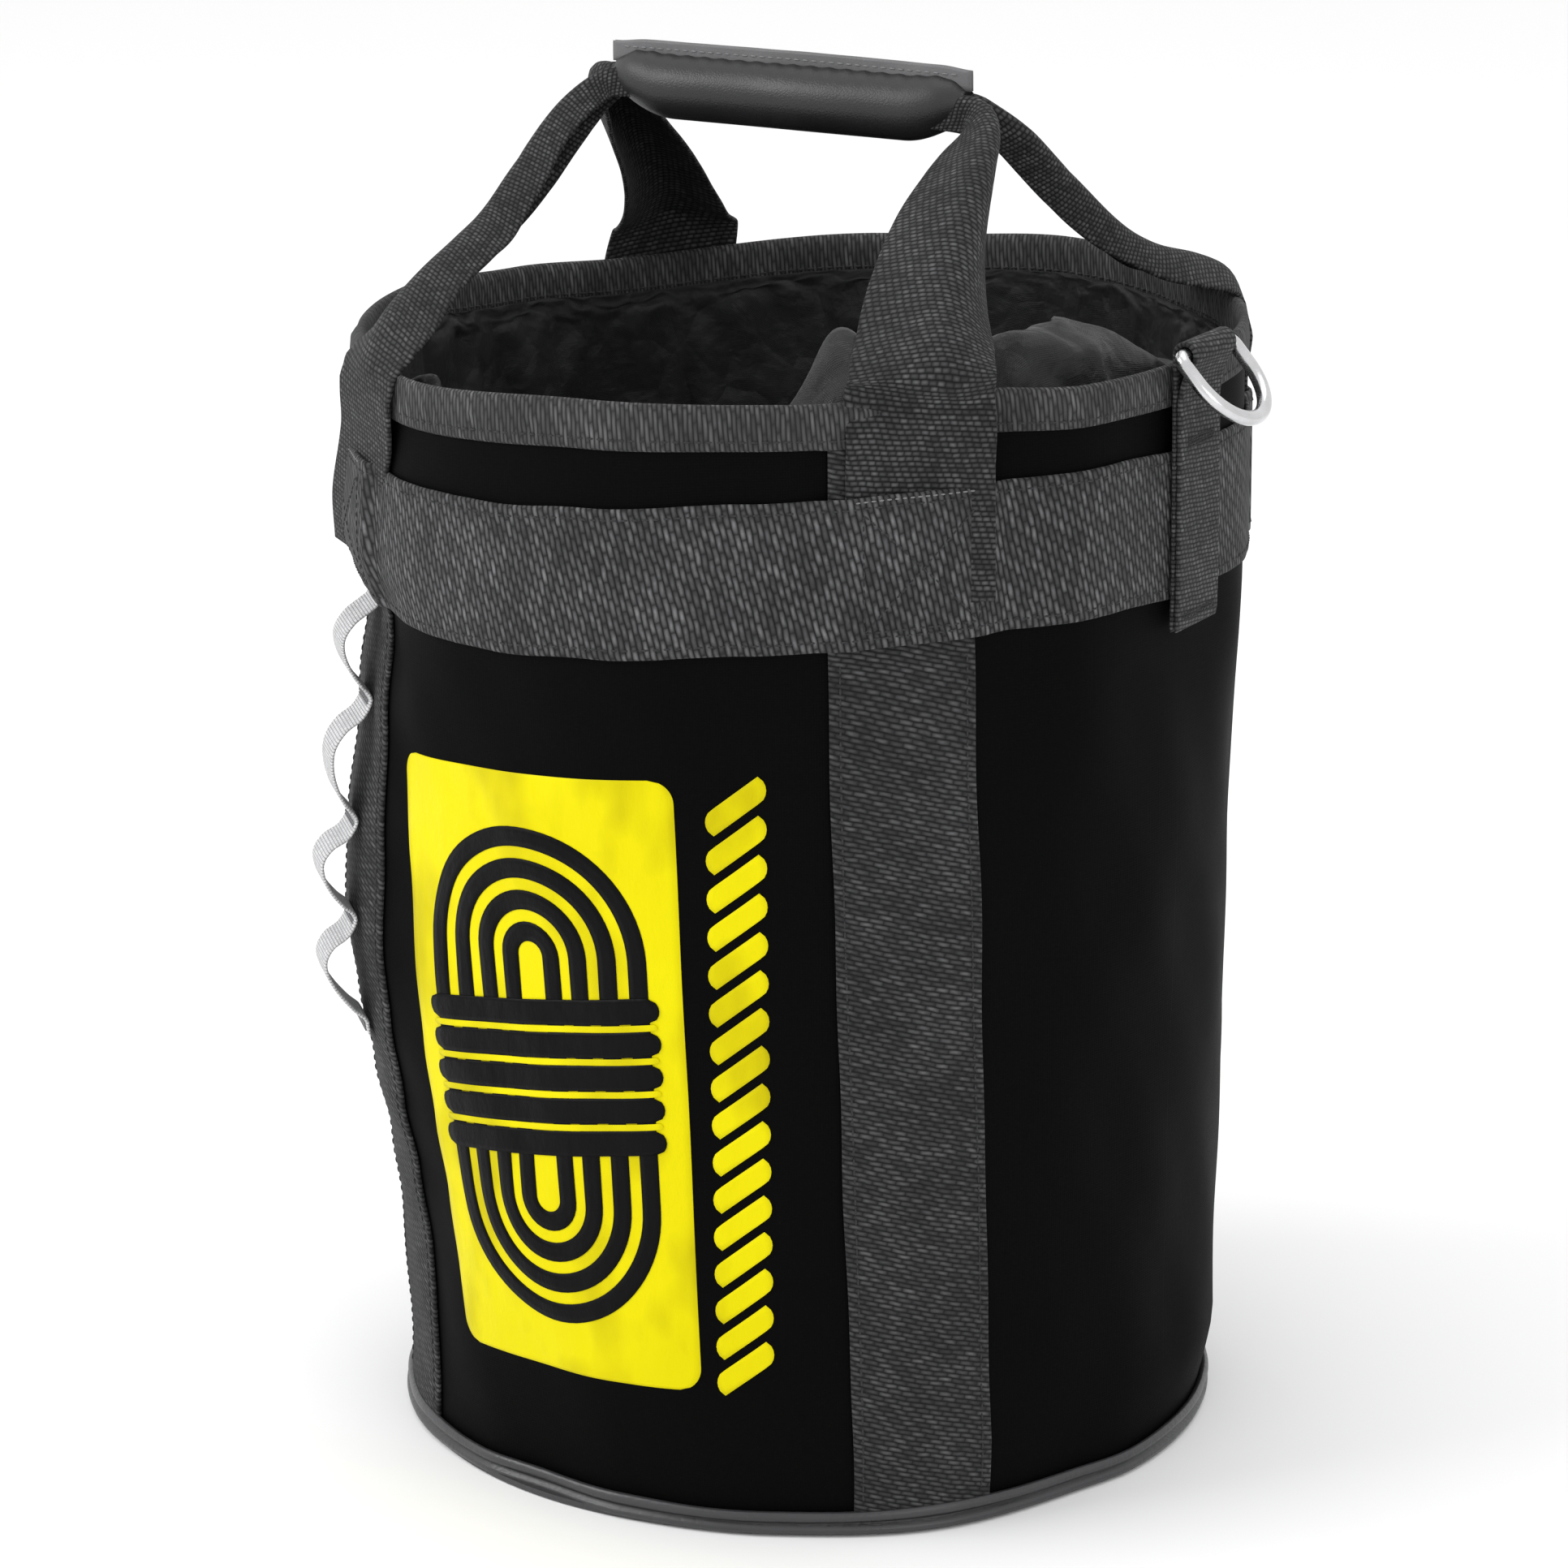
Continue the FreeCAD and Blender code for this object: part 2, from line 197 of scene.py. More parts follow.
def shell(name, lower, upper, u, v, mat, wrap=False, swap=False):
    """Closed shell between two grids of points, rows along v and columns along u, both in millimetres."""
    rows, cols = lower.shape[:2]
    verts = np.concatenate([lower.reshape(-1, 3), upper.reshape(-1, 3)])
    n = rows * cols
    u = list(u) + ([u[-1] + (u[-1] - u[-2])] if wrap else [])
    faces, uvs = [], []

    def add(ids, spots, flip=False):
        spots = [(b, a) if swap else (a, b) for a, b in spots]
        faces.append(ids[::-1] if flip else ids)
        uvs.extend(spots[::-1] if flip else spots)

    spans = [(j, (j + 1) % cols) for j in range(cols if wrap else cols - 1)]
    for i in range(rows - 1):
        for j, k in spans:
            ids = [i * cols + j, i * cols + k, (i + 1) * cols + k, (i + 1) * cols + j]
            spots = [(u[j], v[i]), (u[j + 1], v[i]), (u[j + 1], v[i + 1]), (u[j], v[i + 1])]
            add([x + n for x in ids], spots)
            add(ids, spots, flip=True)
    for i, flip in ((0, False), (rows - 1, True)):
        for j, k in spans:
            ids = [i * cols + j, i * cols + k, i * cols + k + n, i * cols + j + n]
            add(ids, [(u[j], v[i]), (u[j + 1], v[i]), (u[j + 1], v[i] + 1), (u[j], v[i] + 1)], flip)
    for j, flip in () if wrap else ((0, True), (cols - 1, False)):
        for i in range(rows - 1):
            ids = [i * cols + j, (i + 1) * cols + j, (i + 1) * cols + j + n, i * cols + j + n]
            add(ids, [(u[j], v[i]), (u[j], v[i + 1]), (u[j] + 1, v[i + 1]), (u[j] + 1, v[i])], flip)
    return finish_mesh(name, verts, faces, uvs, mat)


def hoop(name, section, u, v, mat, swap=False):
    """Closed ring: section[k, j] is point k of the closed section at station j round the ring."""
    sec, cols = section.shape[:2]
    verts = section.reshape(-1, 3)
    u = list(u) + [u[-1] + (u[-1] - u[-2])]
    v = list(v) + [v[-1] + (v[-1] - v[-2])]
    faces, uvs = [], []
    for k in range(sec):
        for j in range(cols):
            m, q = (k + 1) % sec, (j + 1) % cols
            faces.append([k * cols + j, k * cols + q, m * cols + q, m * cols + j])
            spots = [(u[j], v[k]), (u[j + 1], v[k]), (u[j + 1], v[k + 1]), (u[j], v[k + 1])]
            uvs.extend([(b, a) if swap else (a, b) for a, b in spots])
    return finish_mesh(name, verts, faces, uvs, mat)


def across_webbing(width, step=2.5):
    """Places across a webbing and its share of full thickness there, with rounded edges."""
    half = width / 2
    inner = np.linspace(-half + 1.4, half - 1.4, int(round((width - 2.8) / step)) + 1)
    t = np.concatenate([[-half, -half + 0.25, -half + 0.7], inner, [half - 0.7, half - 0.25, half]])
    f = np.interp(half - np.abs(t), (0, 0.25, 0.7, 1.4), (0.25, 0.66, 0.92, 1.0))
    return t, f


def tapered(count, first, last):
    """Share of full thickness for each row of a strip, thinner at both cut ends."""
    return np.interp(np.arange(count), (0, 2, count - 3, count - 1), (first, 1, 1, last))


def laid(angle, z, off, thick, share):
    """Two grids, the faces of fabric laid on the wall with its inner face at off."""
    mid = off + thick / 2
    return bag(angle, z, mid - share * thick / 2), bag(angle, z, mid + share * thick / 2)


STITCH = (  # along, share of full thickness, height over the cloth in thread radii
    (0.0, 0.12, -0.25), (0.12, 0.75, 0.05), (0.35, 1.0, 0.3), (0.65, 1.0, 0.3), (0.88, 0.75, 0.05),
    (1.0, 0.12, -0.25),
)


def threads(name, spots, mat, radius=0.34):
    """Sewn stitches. Each spot is (start, end, outward direction)."""
    around = 6
    turns = [2 * math.pi * k / around for k in range(around)]
    verts, faces, uvs = [], [], []
    for start, end, out in spots:
        start, end, out = (np.asarray(x, float) for x in (start, end, out))
        along = end - start
        side = unit(np.cross(along, out))
        base = len(verts)
        for t, thick, height in STITCH:
            middle = start + along * t + out * (height * radius)
            verts += [middle + (side * math.cos(p) + out * math.sin(p)) * radius * thick for p in turns]
        for i in range(len(STITCH) - 1):
            low, high = base + i * around, base + (i + 1) * around
            for k in range(around):
                q = (k + 1) % around
                faces.append([low + k, low + q, high + q, high + k])
                uvs += [(k, i), (k + 1, i), (k + 1, i + 1), (k, i + 1)]
        for ring in (0, len(STITCH) - 1):
            ids = [base + ring * around + k for k in range(around)]
            faces.append(ids if ring else ids[::-1])
            uvs += [(k, 0) for k in range(around)]
    return finish_mesh(name, verts, faces, uvs, mat)


def stitch_line(angles, zs, off, pitch=3.6, fill=0.68):
    """Stitches along a line on the bag, given by many close points."""
    pts = bag(angles, zs, off)
    outs = outward(np.broadcast_to(np.asarray(angles, float), pts.shape[:1]))
    steps = np.concatenate([[0], np.cumsum(np.linalg.norm(np.diff(pts, axis=0), axis=1))])
    spots = []
    for k in range(int(steps[-1] / pitch)):
        a, b = k * pitch + pitch * (1 - fill) / 2, k * pitch + pitch * (1 + fill) / 2
        p = [np.array([np.interp(s, steps, pts[:, c]) for c in range(3)]) for s in (a, b)]
        o = np.array([np.interp((a + b) / 2, steps, outs[:, c]) for c in range(3)])
        spots.append((p[0], p[1], o / np.linalg.norm(o)))
    return spots


# ---------------------------------------------------------------- materials
class Paint:
    """A procedural material, built node by node."""

    def __init__(self, name, rough, metallic=0.0, specular=0.5, sheen=0.0):
        self.m = bpy.data.materials.new(name)
        self.m.use_nodes = True
        self.t = self.m.node_tree
        self.b = self.t.nodes["Principled BSDF"]
        self.b.inputs["Roughness"].default_value = rough
        self.b.inputs["Metallic"].default_value = metallic
        self.b.inputs["Specular IOR Level"].default_value = specular
        if sheen:
            self.b.inputs["Sheen Weight"].default_value = sheen
            self.b.inputs["Sheen Roughness"].default_value = 0.45

    def node(self, kind, inputs=(), **settings):
        n = self.t.nodes.new(kind)
        for key, value in settings.items():
            setattr(n, key, value)
        for key, value in dict(inputs).items():
            self.put(n.inputs[key], value)
        return n

    def put(self, socket, value):
        if isinstance(value, bpy.types.NodeSocket):
            self.t.links.new(value, socket)
        elif isinstance(value, (tuple, list)) and len(value) == 3 and socket.type == "RGBA":
            socket.default_value = (*value, 1.0)
        else:
            socket.default_value = value

    def weave(self, turn=0.0):
        """Place in the cloth, in metres along and across its yarns."""
        uv = self.node("ShaderNodeUVMap", uv_map="weave")
        m = self.node("ShaderNodeMapping", {"Vector": uv.outputs[0], "Rotation": (0, 0, turn)})
        return m.outputs[0]

    def place(self, scale=(1, 1, 1)):
        c = self.node("ShaderNodeTexCoord")
        return self.node("ShaderNodeMapping", {"Vector": c.outputs["Object"], "Scale": scale}).outputs[0]

    def noise(self, vector, scale, detail=3.0, rough=0.55):
        n = self.node("ShaderNodeTexNoise",
                      {"Vector": vector, "Scale": scale, "Detail": detail, "Roughness": rough})
        return n.outputs[0]

    def cells(self, vector, scale):
        """Scattered cells, 0 at the edges between them."""
        n = self.node("ShaderNodeTexVoronoi", {"Vector": vector, "Scale": scale}, feature="DISTANCE_TO_EDGE")
        return n.outputs[0]

    def bricks(self, size, joint, soft, colours, offset=0.5):
        """Plain weave, with brick sizes in millimetres. colours are two yarns and the gap."""
        return self.node("ShaderNodeTexBrick", {
            "Vector": self.weave(), "Scale": 1000.0, "Brick Width": size[0], "Row Height": size[1],
            "Mortar Size": joint, "Mortar Smooth": soft, "Color1": colours[0], "Color2": colours[1],
            "Mortar": colours[2]}, offset=offset)

    def ramp(self, fac, low, high, a=0.3, b=0.7):
        r = self.node("ShaderNodeMapRange",
                      {"Value": fac, "From Min": a, "From Max": b, "To Min": low, "To Max": high})
        return r.outputs[0]

    def mix(self, fac, a, b, kind="MIX"):
        n = self.node("ShaderNodeMix", data_type="RGBA", blend_type=kind)
        for socket, value in ((n.inputs[0], fac), (n.inputs[6], a), (n.inputs[7], b)):
            self.put(socket, value)
        return n.outputs[2]

    def math(self, op, a, b=0.0):
        n = self.node("ShaderNodeMath", operation=op)
        self.put(n.inputs[0], a)
        self.put(n.inputs[1], b)
        return n.outputs[0]

    def bump(self, height, distance, strength):
        n = self.node("ShaderNodeBump", {"Height": height, "Distance": distance, "Strength": strength})
        return n.outputs[0]

    def out(self, colour=None, rough=None, normal=None):
        for key, value in (("Base Color", colour), ("Roughness", rough), ("Normal", normal)):
            if value is not None:
                self.put(self.b.inputs[key], value)
        return self.m


def woven(name, dark, light, gap, dash, pitch, slope, stagger, relief=0.0005):
    """Coarse webbing: slanted dashes of yarn in rows. dash and pitch are their length and spacing."""
    p = Paint(name, 0.85, specular=0.2, sheen=0.03)
    wob = p.noise(p.weave(), 230.0, 3.0)
    swirl = p.node("ShaderNodeTexNoise", {"Vector": p.weave(), "Scale": 130.0}).outputs["Color"]
    stray = (0.0011, 0.0011, 0.0)
    swirl = p.node("ShaderNodeVectorMath", {0: swirl, 1: stray}, operation="MULTIPLY").outputs[0]
    spot = p.node("ShaderNodeVectorMath", {0: p.weave(turn=slope), 1: swirl}, operation="ADD").outputs[0]
    parts = p.node("ShaderNodeSeparateXYZ", {0: spot})
    row = p.math("DIVIDE", parts.outputs[1], pitch / 1000)
    step = p.math("MULTIPLY", p.math("FLOOR", row), stagger)
    cell = p.math("ADD", p.math("DIVIDE", parts.outputs[0], dash / 1000), step)
    hump = p.math("SINE", p.math("MULTIPLY", p.math("FRACT", cell), math.pi))
    bar = p.math("SINE", p.math("MULTIPLY", p.math("FRACT", row), math.pi))
    yarn = p.math("MULTIPLY", p.math("POWER", hump, 0.8), p.math("POWER", bar, 1.3))
    ids = p.node("ShaderNodeCombineXYZ", {0: p.math("FLOOR", cell), 1: p.math("FLOOR", row)}).outputs[0]
    chance = p.node("ShaderNodeTexWhiteNoise", {"Vector": ids}, noise_dimensions="2D").outputs[0]
    lit = p.math("MULTIPLY", yarn, p.math("ADD", 0.35, p.math("MULTIPLY", chance, 0.65)))
    lit = p.math("MULTIPLY", lit, p.ramp(wob, 0.45, 1.1, 0.35, 0.65))
    shade = p.mix(p.ramp(bar, 0.0, 1.0, 0.15, 0.7), gap, dark)
    shade = p.mix(lit, shade, light)
    patch = p.ramp(p.noise(p.place(), 38.0, 3.0), 0.75, 1.2)
    patch = p.node("ShaderNodeCombineColor", {0: patch, 1: patch, 2: patch}).outputs[0]
    shade = p.mix(1.0, shade, patch, "MULTIPLY")
    height = p.math("ADD", yarn, p.math("MULTIPLY", p.noise(p.weave(), 1500.0, 2.0), 0.3))
    return p.out(shade, p.ramp(wob, 0.73, 0.93), p.bump(height, relief, 0.9))


def tape(name, dark, light, rib, relief):
    """Fine ribbed tape: ribs across the width, with a faint second yarn."""
    p = Paint(name, 0.8, specular=0.3, sheen=0.05)
    wave = p.node("ShaderNodeTexWave", {
        "Vector": p.weave(), "Scale": 1000.0 / rib / math.pi / 6.4, "Distortion": 0.6, "Detail": 2.0,
        "Detail Scale": 3.0}, wave_type="BANDS", bands_direction="Y")
    fine = p.bricks((rib * 1.6, rib * 0.8), rib * 0.14, 0.8, (dark, light, tuple(x * 0.45 for x in dark)))
    shade = p.mix(p.ramp(p.noise(p.place(), 45.0, 3.0), 0.0, 0.5), fine.outputs[0], dark)
    ribs = p.math("MULTIPLY", wave.outputs["Fac"], 0.6)
    height = p.math("ADD", ribs, p.math("SUBTRACT", 1.0, fine.outputs["Fac"]))
    return p.out(shade, None, p.bump(height, relief, 0.8))


def tarpaulin():
    """Coated fabric, its scrim faint under the coat, with dull scuffs."""
    p = Paint("tarpaulin", 0.62, specular=0.03)
    yarns = (0.0016, 0.0016, 0.0017), (0.0022, 0.0022, 0.0023), (0.0012, 0.0012, 0.0012)
    scrim = p.bricks((0.9, 0.9), 0.12, 1.0, yarns, offset=0.0)
    cloud = p.noise(p.place(), 9.0, 4.0)
    shade = p.mix(p.ramp(cloud, 0.0, 0.6), scrim.outputs[0], (0.0026, 0.0026, 0.0028))
    scuff = p.noise(p.place(scale=(1, 1, 0.35)), 60.0, 5.0, 0.7)
    shade = p.mix(p.ramp(scuff, 0.0, 0.3, 0.62, 0.8), shade, (0.0045, 0.0045, 0.0048))
    height = p.math("ADD", p.math("MULTIPLY", cloud, 6.0), scrim.outputs["Fac"])
    return p.out(shade, p.ramp(cloud, 0.56, 0.70), p.bump(height, 0.00012, 0.6))


def plastic(name, base, rough, grain, relief, specular=0.5, worn=1.6):
    """Grained sheet. worn is how much lighter its rubbed patches are."""
    p = Paint(name, rough, specular=specular)
    cloud = p.noise(p.place(), 30.0, 4.0)
    shade = p.mix(p.ramp(cloud, 0.0, 0.7), base, tuple(x * worn for x in base))
    fine = p.math("MULTIPLY", p.noise(p.place(), 900.0, 2.0), 0.4)
    height = p.math("ADD", p.ramp(p.cells(p.place(), grain), 0.0, 1.0, 0.0, 0.25), fine)
    return p.out(shade, p.ramp(cloud, rough - 0.06, rough + 0.1), p.bump(height, relief, 0.7))


def nylon():
    """Thin lining cloth, rumpled and crinkled."""
    p = Paint("collar_nylon", 0.44, specular=0.36, sheen=0.03)
    yarns = (0.007, 0.007, 0.008), (0.010, 0.010, 0.011), (0.005, 0.005, 0.0055)
    weave = p.bricks((0.7, 0.5), 0.1, 1.0, yarns)
    rumple = p.noise(p.place(), 55.0, 4.0, 0.6)
    shade = p.mix(p.ramp(rumple, 0.0, 0.6), weave.outputs[0], (0.013, 0.013, 0.014))
    crinkle = p.math("MULTIPLY", p.ramp(p.cells(p.place(scale=(1, 1, 0.6)), 85.0), 0.0, 1.0, 0.0, 0.3), 3.0)
    height = p.math("ADD", p.math("ADD", p.math("MULTIPLY", rumple, 12.0), crinkle), weave.outputs["Fac"])
    return p.out(shade, p.ramp(rumple, 0.38, 0.55), p.bump(height, 0.0003, 0.9))


def film(name, base, dark):
    """Printed film, creased with the wall under it, with painted shade darkening its creases and folds."""
    p = Paint(name, 0.5, specular=0.08)
    cloud = p.noise(p.place(), 14.0, 4.0)
    crease = p.noise(p.place(scale=(1, 1, 0.5)), 70.0, 5.0, 0.65)
    fold = p.noise(p.place(scale=(1.6, 1.6, 1)), 21.0, 2.5, 0.5)
    shade = p.mix(p.ramp(cloud, 0.0, 0.5), base, dark)
    # Painted shade: the colour darkens along the creases.
    shade = p.mix(p.ramp(crease, 0.0, 0.35, 0.6, 0.78), shade, tuple(x * 0.72 for x in base))
    # Painted shade: the colour darkens further in the large folds.
    shade = p.mix(p.ramp(fold, 0.0, 0.75, 0.5, 0.68), shade, tuple(x * 0.74 for x in dark))
    height = p.math("ADD", crease, p.math("MULTIPLY", fold, 3.0))
    return p.out(shade, p.ramp(cloud, 0.38, 0.52), p.bump(height, 0.0013, 0.6))


def steel():
    """Bright wire with fine drawing lines."""
    p = Paint("ring_steel", 0.2, metallic=1.0)
    cloud = p.noise(p.place(), 120.0, 4.0)
    lines = p.noise(p.place(scale=(1, 1, 6)), 600.0, 3.0)
    shade = p.mix(p.ramp(cloud, 0.0, 0.6), (0.66, 0.66, 0.67), (0.5, 0.5, 0.51))
    return p.out(shade, p.ramp(lines, 0.14, 0.3), p.bump(lines, 0.00004, 0.4))


WALL = tarpaulin()
PVC = plastic("base_pvc", (0.028, 0.028, 0.030), 0.34, 260.0, 0.00008)
GRIP = plastic("grip_pvc", (0.013, 0.013, 0.014), 0.40, 900.0, 0.00005, specular=0.45, worn=1.4)
# The flange lips are the grip's own black PVC, painted a lighter grey: a painted highlight where the top
# light catches the seam.
LIT_LIPS = plastic("grip_lips_painted_highlight", (0.095, 0.095, 0.098), 0.42, 900.0, 0.00005, specular=0.4, worn=1.5)
WEBBING = woven("webbing_side", dark=(0.011, 0.011, 0.012), light=(0.105, 0.105, 0.108),
                gap=(0.004, 0.004, 0.004), dash=5.0, pitch=1.7, slope=0.28, stagger=0.42)
BANDING = woven("webbing_band", dark=(0.015, 0.015, 0.016), light=(0.165, 0.165, 0.170),
                gap=(0.005, 0.005, 0.005), dash=6.0, pitch=1.9, slope=0.22, stagger=0.40)
STRAPPING = woven("webbing_strap", dark=(0.008, 0.008, 0.009), light=(0.110, 0.110, 0.113),
                  gap=(0.003, 0.003, 0.003), dash=2.7, pitch=1.75, slope=0.10, stagger=0.30)
NARROW = woven("webbing_tab", dark=(0.013, 0.013, 0.014), light=(0.130, 0.130, 0.133),
               gap=(0.005, 0.005, 0.005), dash=2.4, pitch=1.5, slope=0.10, stagger=0.3, relief=0.0003)
BINDING = woven("binding_tape", dark=(0.024, 0.024, 0.025), light=(0.125, 0.125, 0.128),
                gap=(0.011, 0.011, 0.011), dash=4.2, pitch=1.5, slope=0.16, stagger=0.37, relief=0.0003)
DAISY = tape("daisy_tape", (0.50, 0.50, 0.51), (0.68, 0.68, 0.69), 1.4, 0.0003)
THREAD = tape("thread_dark", (0.026, 0.026, 0.028), (0.05, 0.05, 0.053), 0.6, 0.0001)
THREAD_LIGHT = tape("thread_light", (0.20, 0.20, 0.205), (0.33, 0.33, 0.335), 0.6, 0.0001)
NYLON = nylon()
# Print colours; film() darkens them in creases and folds as painted shade.
YELLOW = film("print_yellow", (0.74, 0.66, 0.0), (0.64, 0.54, 0.0))
BLACK = film("print_black", (0.0018, 0.0018, 0.002), (0.003, 0.003, 0.0033))
STEEL = steel()


def wear(obj, body="root", nodes=()):
    """Gives a piece its body, and hides the frame's nodes that it stands in for."""
    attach(obj, body)
    if nodes:
        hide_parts(*nodes)


def paint_cad(node, mat):
    """Material for a piece that comes straight from the frame."""
    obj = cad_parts[node]
    obj.data.materials.clear()
    obj.data.materials.append(mat)


def refine(obj, *more):
    """Rounds a cloth once, after applying the modifiers named."""
    soft = obj.modifiers.new("soft", "SUBSURF")
    soft.levels = soft.render_levels = 1
    bpy.context.view_layer.objects.active = obj
    with bpy.context.temp_override(object=obj, active_object=obj, selected_objects=[obj]):
        for name in (*more, "soft"):
            bpy.ops.object.modifier_apply(modifier=name)


# ---------------------------------------------------------------- wall, sole and welt
TURN = np.linspace(0, 360, 288, endpoint=False)
ARC = np.radians(TURN) * 148
heights = np.concatenate([np.linspace(2.4, 20, 6), np.linspace(26, 300, 46), np.linspace(305, 389.4, 20)])
A, Z = np.meshgrid(TURN, heights)
wall = shell("wall_shell", bag(A, Z, -WALL_THICK), bag(A, Z, 0.0), ARC, heights, WALL, wrap=True)
wear(wall, nodes=["body_wall"])


def welt_section(angle):
    """Two rolled lips of base sheet at the foot of the wall. Their seam opens at the front right."""
    part = 0.35 + 0.9 * near(angle, 322, 16) + 0.3 * np.sin(np.radians(angle) * 9) ** 2
    wob = 0.5 * np.sin(np.radians(angle) * 7) + 0.35 * np.sin(np.radians(angle) * 17 + 1)
    inner = [(-1.6, 2.2)]
    upper = [(0.3, 7.4), (1.5, 8.3), (2.7, 7.9), (3.4, 6.4), (3.3, 5.0)]
    seam = [(2.3, 4.2), (2.2, 3.6)]
    lower = [(3.6, 3.2), (4.1, 2.0), (3.7, 0.7), (2.4, 0.05), (0.0, 0.0), (-5.0, 0.0), (-5.0, 0.9)]
    upper = [(off, z + wob * 0.5 + (0.5 * part if k else 0)) for k, (off, z) in enumerate(upper)]
    seam = [(off - 1.3 * part, z) for off, z in seam]
    return inner + upper + seam + lower


sections = np.stack([bag(TURN, z, off) for off, z in welt_section(TURN)])
welt = hoop("welt_rolled", sections[::-1], ARC, np.linspace(0, 30, len(sections)), PVC)
wear(welt, nodes=["base_welt"])
paint_cad("base_disc", PVC)


# ---------------------------------------------------------------- side webbings, band, binding
def side_drift(side, z):
    """The front right webbing runs aslant, and is further round at the foot."""
    return 2.4 * (1 - ease(z / 290)) if side == "front_right" else 0 * z


t, share = across_webbing(WEB)
levels = np.concatenate([[6.9, 7.6, 9.0], np.linspace(14, 372, 72), [381.0, 383.0]])
ends = tapered(len(levels), 0.35, 0.5)
for side, centre in SIDES.items():
    wander = 0.35 * np.sin(levels / 31 + centre) + 0.2 * np.sin(levels / 11)
    A = centre + side_drift(side, levels)[:, None] + along_wall(t[None, :] + wander[:, None])
    Z = np.repeat(levels[:, None], len(t), 1)
    low, up = laid(A, Z, GAP, WEB_THICK, ends[:, None] * share[None, :])
    piece = shell(f"webbing_{side}", low, up, t + WEB / 2, levels, WEBBING)
    wear(piece, nodes=[f"side_webbing_{side}"])

A, Z = np.meshgrid(TURN, BAND_Z + t)
ripple = 0.12 * np.sin(np.radians(A) * 61) * (np.abs(Z - BAND_Z) / 25) ** 2
low, up = laid(A, Z, GAP + 0.02 + under_band(A) + ripple, 1.76, share[:, None])
band = shell("band_webbing", low, up, ARC, t + WEB / 2, BANDING, wrap=True, swap=True)
wear(band, nodes=["upper_band"])


def binding_section(angle):
    """Tape folded over the rim, standing off where a webbing lies under it."""
    a = 0.15 + LAYER * plateau(angle, SIDES.values())
    ripple = 0.18 * np.sin(np.radians(angle) * 83) + 0.12 * np.sin(np.radians(angle) * 37 + 1)
    outside = [(a, 377.4), (a + 0.7, 377.0), (a + 1.2, 377.6), (a + 1.35 + ripple, 381),
               (a + 1.3 - ripple, 385), (a + 1.0, 389), (a * 0.4 + 0.6, 391.2)]
    inside = [(-0.6, 391.9), (-1.8, 391.1), (-2.7, 388.5), (-2.8 + ripple, 384), (-2.75 - ripple, 380),
              (-2.6, 377.4), (-2.1, 376.8), (-1.5, 377.4)]
    under = [(-1.35, 383), (-1.3, 389.6), (-0.6, 390.2), (0.05, 389.6), (a * 0.5, 385.5)]
    return outside + inside + under


sections = np.stack([bag(TURN, z, off) for off, z in binding_section(TURN)])
binding = hoop("binding_folded", sections, ARC, np.linspace(0, 34, len(sections)), BINDING, swap=True)
wear(binding, nodes=["rim_binding"])


# ---------------------------------------------------------------- carrying straps
def smooth_path(points, step=2.0):
    """Smooth curve through points, cut at even steps, and the length along it."""
    p = np.asarray(points, float)
    p = np.vstack([2 * p[0] - p[1], p, 2 * p[-1] - p[-2]])
    line = []
    for i in range(1, len(p) - 2):
        for t in np.linspace(0, 1, 24, endpoint=False):
            a, b, c, d = p[i - 1:i + 3]
            bend, twist = 2 * a - 5 * b + 4 * c - d, 3 * b - 3 * c + d - a
            line.append(0.5 * (2 * b + (c - a) * t + bend * t * t + twist * t ** 3))
    line.append(p[-2])
    line = np.array(line)
    s = np.concatenate([[0], np.cumsum(np.linalg.norm(np.diff(line, axis=0), axis=1))])
    even = np.linspace(0, s[-1], int(s[-1] / step) + 1)
    return np.stack([np.interp(even, s, line[:, k]) for k in range(3)], 1), even


AXIS = 465.0
LEGS = {  # points up each leg from the rim to the end of the grip
    "front_left": [
        (-87.5, -118, 398.5), (-88.5, -105, 404.5), (-88, -88, 412), (-87.5, -70, 418), (-87, -53, 424),
        (-85, -36, 435), (-81.5, -20, 448), (-77.5, -9, 457), (-72.5, -4, 462.5), (-66, -3.6, AXIS)],
    "front_right": [
        (113, -105, 399), (109.5, -98, 407.5), (104, -85, 416.5), (98.5, -70, 427), (92.5, -52, 439),
        (86, -31, 451), (80, -13, 460), (74, -4.5, 464), (66, -3.6, AXIS)],
    "rear_right": [
        (108, 107, 398), (103, 96, 402.5), (97, 77, 408), (91.5, 57, 419), (85, 34, 437),
        (79.5, 15, 453), (73.5, 5, 462), (66, 3.6, AXIS)],
    "rear_left": [
        (-112, 98, 399), (-107, 87, 408), (-101.5, 69, 423), (-95.5, 48, 439), (-88.5, 27, 452),
        (-81, 11, 461), (-74, 4.4, 464), (-66, 3.6, AXIS)],
}
LEAN = {"front_left": 9.0, "front_right": 0.0, "rear_right": 0.0, "rear_left": 4.0}


def rise(leg):
    """Path of one leg from under the band, over the binding, to the end of the grip."""
    sewn = ((322, 2.95), (340, 2.95), (360, 2.95), (368, 3.2), (377, 4.45), (385, 4.55), (391, 4.3))
    lean = [LEAN[leg] * float(ease((z - 318) / 66)) for z, off in sewn]
    path = [bag(STRAPS[leg] + more, z, off) for more, (z, off) in zip(lean, sewn)]
    return path + [np.asarray(p, float) for p in LEGS[leg]]


def softened(values, reach):
    """Running mean over reach places to each side."""
    count = 2 * reach + 1
    return np.convolve(np.pad(values, reach, mode="edge"), np.ones(count) / count, mode="valid")


